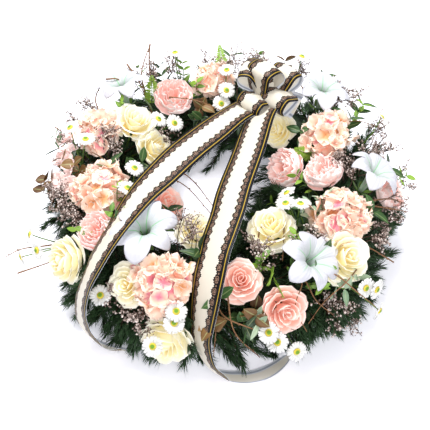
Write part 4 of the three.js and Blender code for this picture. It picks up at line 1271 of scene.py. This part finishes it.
def printed_satin():
    """Satin weave: a soft sheen along the ribbon; the border is printed in gold, copper and black."""
    material, tree = new_material("printed_acetate_satin")
    parts = mark_parts(tree)
    across, along = parts["X"], parts["Y"]

    def maths(operation, a, b=0.0):
        """What one maths node makes of a and b."""
        return add(tree, "ShaderNodeMath", {0: a, 1: b}, operation=operation).outputs[0]

    def over(mask, under, colour):
        """The colour printed where mask is 1, and what is under it elsewhere."""
        laid = add(tree, "ShaderNodeMixRGB", {"Fac": mask, "Color1": under, "Color2": colour})
        return laid.outputs["Color"]

    off_middle = maths("ABSOLUTE", maths("SUBTRACT", across, RIBBON_WIDTH / 2))
    edge = maths("SUBTRACT", RIBBON_WIDTH / 2, off_middle)
    phase = maths("SUBTRACT", maths("FRACT", maths("DIVIDE", along, PRINT_REPEAT)), 0.5)
    step = maths("MULTIPLY", phase, PRINT_REPEAT)
    swell = maths("MULTIPLY", maths("COSINE", maths("MULTIPLY", phase, 2 * math.pi)), 1.6)
    teeth = maths("MULTIPLY", maths("COSINE", maths("MULTIPLY", along, 2 * math.pi / LACE_TOOTH)), 0.7)
    lace = maths("LESS_THAN", edge, maths("ADD", maths("ADD", swell, LACE_EDGE), teeth))
    off_medal = maths("DIVIDE", maths("SUBTRACT", edge, MEDALLION_MIDDLE), MEDALLION_HALF[0])
    off_medal = maths("ABSOLUTE", off_medal)
    off_step = maths("ABSOLUTE", maths("DIVIDE", step, MEDALLION_HALF[1]))
    block = maths("ADD", maths("POWER", off_medal, 3.0), maths("POWER", off_step, 3.0))
    medal = maths("LESS_THAN", block, 1.0)
    key = maths("LESS_THAN", maths("ABSOLUTE", maths("SUBTRACT", block, 0.22)), 0.12)
    side = maths("SUBTRACT", maths("ABSOLUTE", step), PRINT_REPEAT / 2)
    dot = maths("ADD", maths("POWER", side, 2.0), maths("POWER", maths("SUBTRACT", edge, DOT_MIDDLE), 2.0))
    gold = maths("LESS_THAN", maths("ABSOLUTE", maths("SUBTRACT", edge, GOLD_LINE)), 0.6)
    border = maths("LESS_THAN", edge, BORDER_EDGE)
    thread = add(tree, "ShaderNodeTexNoise", {"Vector": marks_of(tree), "Scale": 1.1, "Detail": 3.0})
    copper = ramp(tree, thread.outputs["Fac"], (0.38, "#3E2E25"), (0.62, "#A68570"))
    colour = over(lace, linear("#D6CFC1"), linear("#0A0808"))
    colour = over(maths("MULTIPLY", lace, medal), colour, copper)
    colour = over(maths("MULTIPLY", lace, key), colour, linear("#1E1512"))
    colour = over(maths("MULTIPLY", lace, maths("LESS_THAN", dot, 1.6)), colour, copper)
    colour = over(border, colour, linear("#0C0D16"))
    colour = over(gold, colour, linear("#B8972E"))
    close(tree, add(tree, "ShaderNodeBsdfPrincipled",
                    {"Base Color": colour, "Normal": satin_weave(tree), "Roughness": 0.45,
                     "Specular IOR Level": 0.22}))
    return material


def satin_back():
    """The back of the satin: silver-grey, warmer in the middle where the ivory shows through; a painted glow
    in its own colour lifts its shade.
    """
    material, tree = new_material("silver_satin_back")
    parts = mark_parts(tree)
    off = add(tree, "ShaderNodeMath", {0: parts["X"], 1: RIBBON_WIDTH / 2}, operation="SUBTRACT")
    off = add(tree, "ShaderNodeMath", {0: off.outputs[0]}, operation="ABSOLUTE")
    share = add(tree, "ShaderNodeMath", {0: off.outputs[0], 1: RIBBON_WIDTH / 2}, operation="DIVIDE")
    tint = ramp(tree, share.outputs[0], (0.5, "#DED8CC"), (0.62, "#D0D3DA"), (0.7, "#8A90A0"),
                (0.8, "#959BA9"), (0.86, "#CDD0D8"), (1.0, "#D2D5DC"))
    # Emission in the back's own colour: a painted glow that lifts its shade
    close(tree, add(tree, "ShaderNodeBsdfPrincipled",
                    {"Base Color": tint, "Normal": satin_weave(tree), "Roughness": 0.36,
                     "Metallic": 0.1, "Emission Color": tint, "Emission Strength": 0.28}))
    return material


def ribbon(shape, route, steps, width_at=None, start=0.0):
    """A ribbon along route: points in mm with the way its printed side faces. Returns its length in mm."""
    points = [from_ring(*r[:3]) for r in route]
    faces = [np.array(r[3:], float) for r in route]
    t = np.linspace(0, 1, steps)
    line = np.array([curve_point(points, k) for k in t])
    face = np.array([curve_point(faces, k) for k in t])
    along = np.gradient(line, axis=0)
    along /= np.linalg.norm(along, axis=1, keepdims=True)
    side = np.cross(along, face)
    side /= np.linalg.norm(side, axis=1, keepdims=True)
    front = np.cross(side, along)
    run = start + np.concatenate([[0], np.cumsum(np.linalg.norm(np.diff(line, axis=0), axis=1))]) / MM
    u = np.linspace(-1, 1, RIBBON_COLUMNS)
    share = np.array([width_at(k) if width_at else 1.0 for k in t])
    half = RIBBON_WIDTH / 2 * MM * share
    crown = (1 - u[:, None] ** 2) * RIBBON_CROWN + (1 - share)[None, :] * np.cos(u * 9)[:, None] * 5 * MM
    grid = (line[None] + side[None] * (u[:, None] * half[None])[..., None] + front[None] * crown[..., None])
    marks = np.stack([np.broadcast_to((u[:, None] + 1) * RIBBON_WIDTH / 2, grid.shape[:2]),
                      np.broadcast_to(run[None], grid.shape[:2]), np.zeros(grid.shape[:2])], -1)
    shape.sheet(grid, RIBBON_THICK, marks, 0, back=1)
    return run[-1] - start


LEFT_TAIL = [                   # x, y, z, and the way the printed side faces
    (50, 112, 162, -0.1, 0.2, 1), (17, 79, 168, -0.1, 0.2, 1), (-24, 24, 177, 0, 0.1, 1),
    (-63, -27, 182, 0, 0.1, 1), (-97, -78, 184, -0.1, 0.1, 1), (-123, -118, 184, -0.3, 0.1, 0.9),
    (-145, -159, 180, -0.5, 0.1, 0.8), (-165, -195, 172, -0.65, 0.1, 0.75),
    (-184, -225, 155, -0.75, 0, 0.65), (-196, -238, 132, -0.9, -0.1, 0.45),
    (-206, -252, 104, -0.9, -0.25, 0.35), (-208, -259, 82, -0.9, -0.45, 0.2),
    (-207, -265, 62, -0.8, -0.6, 0), (-200, -270, 46, -0.7, -0.7, -0.2),
    (-184, -277, 31, -0.5, -0.75, -0.45), (-168, -282, 27, -0.2, -0.8, -0.6),
    (-149, -284, 27, -0.1, -0.85, -0.5),
]
RIGHT_TAIL = [
    (70, 100, 166, -0.4, 0.2, 0.9), (57, 63, 172, -0.45, 0.2, 0.9), (36, -25, 181, -0.4, 0.15, 0.9),
    (13, -110, 185, -0.4, 0.1, 0.9), (4, -153, 185, -0.45, 0.1, 0.9), (-7, -193, 184, -0.5, 0.05, 0.9),
    (-15, -224, 179, -0.6, -0.05, 0.8), (-22, -253, 166, -0.65, -0.3, 0.7),
    (-28, -275, 140, -0.75, -0.5, 0.4), (-34, -296, 95, -0.85, -0.45, 0.25),
    (-33, -307, 72, -0.85, -0.55, 0.1), (-25, -318, 50, -0.8, -0.6, -0.1),
    (-13, -325, 36, -0.6, -0.75, -0.3), (2, -328, 27, -0.3, -0.7, -0.6), (20, -329, 25, -0.1, -0.7, -0.7),
    (36, -329, 25, 0.15, -0.7, -0.7), (58, -323, 26, 0.35, -0.65, -0.7), (78, -310, 28, 0.55, -0.6, -0.6),
    (95, -293, 31, 0.7, -0.6, -0.4),
]
satin_finishes = [printed_satin(), satin_back()]
for name, route in (("left", LEFT_TAIL), ("right", RIGHT_TAIL)):
    tail = Shape()
    length = ribbon(tail, route, TAIL_STEPS)
    piece = tail.object(f"ribbon_{name}", satin_finishes, [f"ribbon_tail_{name}"], "ribbon_satin")

BOW_TIE = (74, 118, 166)
LOOPS = [                       # azimuth, elevation, length, height, and where its root lies off the tie
    (42, 62, 52, 40, -18, 2, 12), (42, 34, 48, 26, 10, 6, 12), (161, 39, 50, 28, -6, 16, 14),
    (42, 172, 40, 24, -7, -4, 5), (42, 172, 46, 28, 37, 0, 10),
]
# a loop's side view: how far out along its length, and how far up or down (of its height, or mm at the foot)
TEARDROP = [(0, 1.5), (0.4, 0.34), (0.78, 0.5), (1, 0), (0.78, -0.5), (0.4, -0.34), (0, -1.5)]
BOW_END = [(86, 120, 170, 0.2, 0.1, -1), (106, 111, 168, 0.2, 0.1, -1), (124, 103, 163, 0.2, 0.1, -1)]
for k, (azimuth, elevation, length, height, *root) in enumerate(LOOPS):
    a, e = math.radians(azimuth), math.radians(elevation)
    axis = np.array((math.cos(a) * math.cos(e), math.sin(a) * math.cos(e), math.sin(e)))
    over = np.array((-math.cos(a) * math.sin(e), -math.sin(a) * math.sin(e), math.cos(e)))
    route = []
    for out, rise in TEARDROP:
        lift = rise * height if out > 0 else rise
        at = np.array(BOW_TIE) + root + axis * out * length + over * lift
        route.append((*at, *(axis * (out - 0.5) + over * (rise or 0.001))))
    loop = Shape()
    run = ribbon(loop, route, LOOP_STEPS, start=PRINT_REPEAT / 2 * k,
                 width_at=lambda t: 0.66 + 0.26 * math.sin(math.pi * t) ** 0.5)
    piece = loop.object(f"bow_loop_{k + 1}", satin_finishes, ["bow_loops"], "ribbon_satin")
end = Shape()
run = ribbon(end, BOW_END, END_STEPS, width_at=lambda t: 0.7 + 0.26 * t)
piece = end.object("bow_end", satin_finishes, ["bow_loops"], "ribbon_satin")

dress(["bow_tie_wire"], moulded_green("green_lacquered_wire", "#21401F", "#3A5C33"))
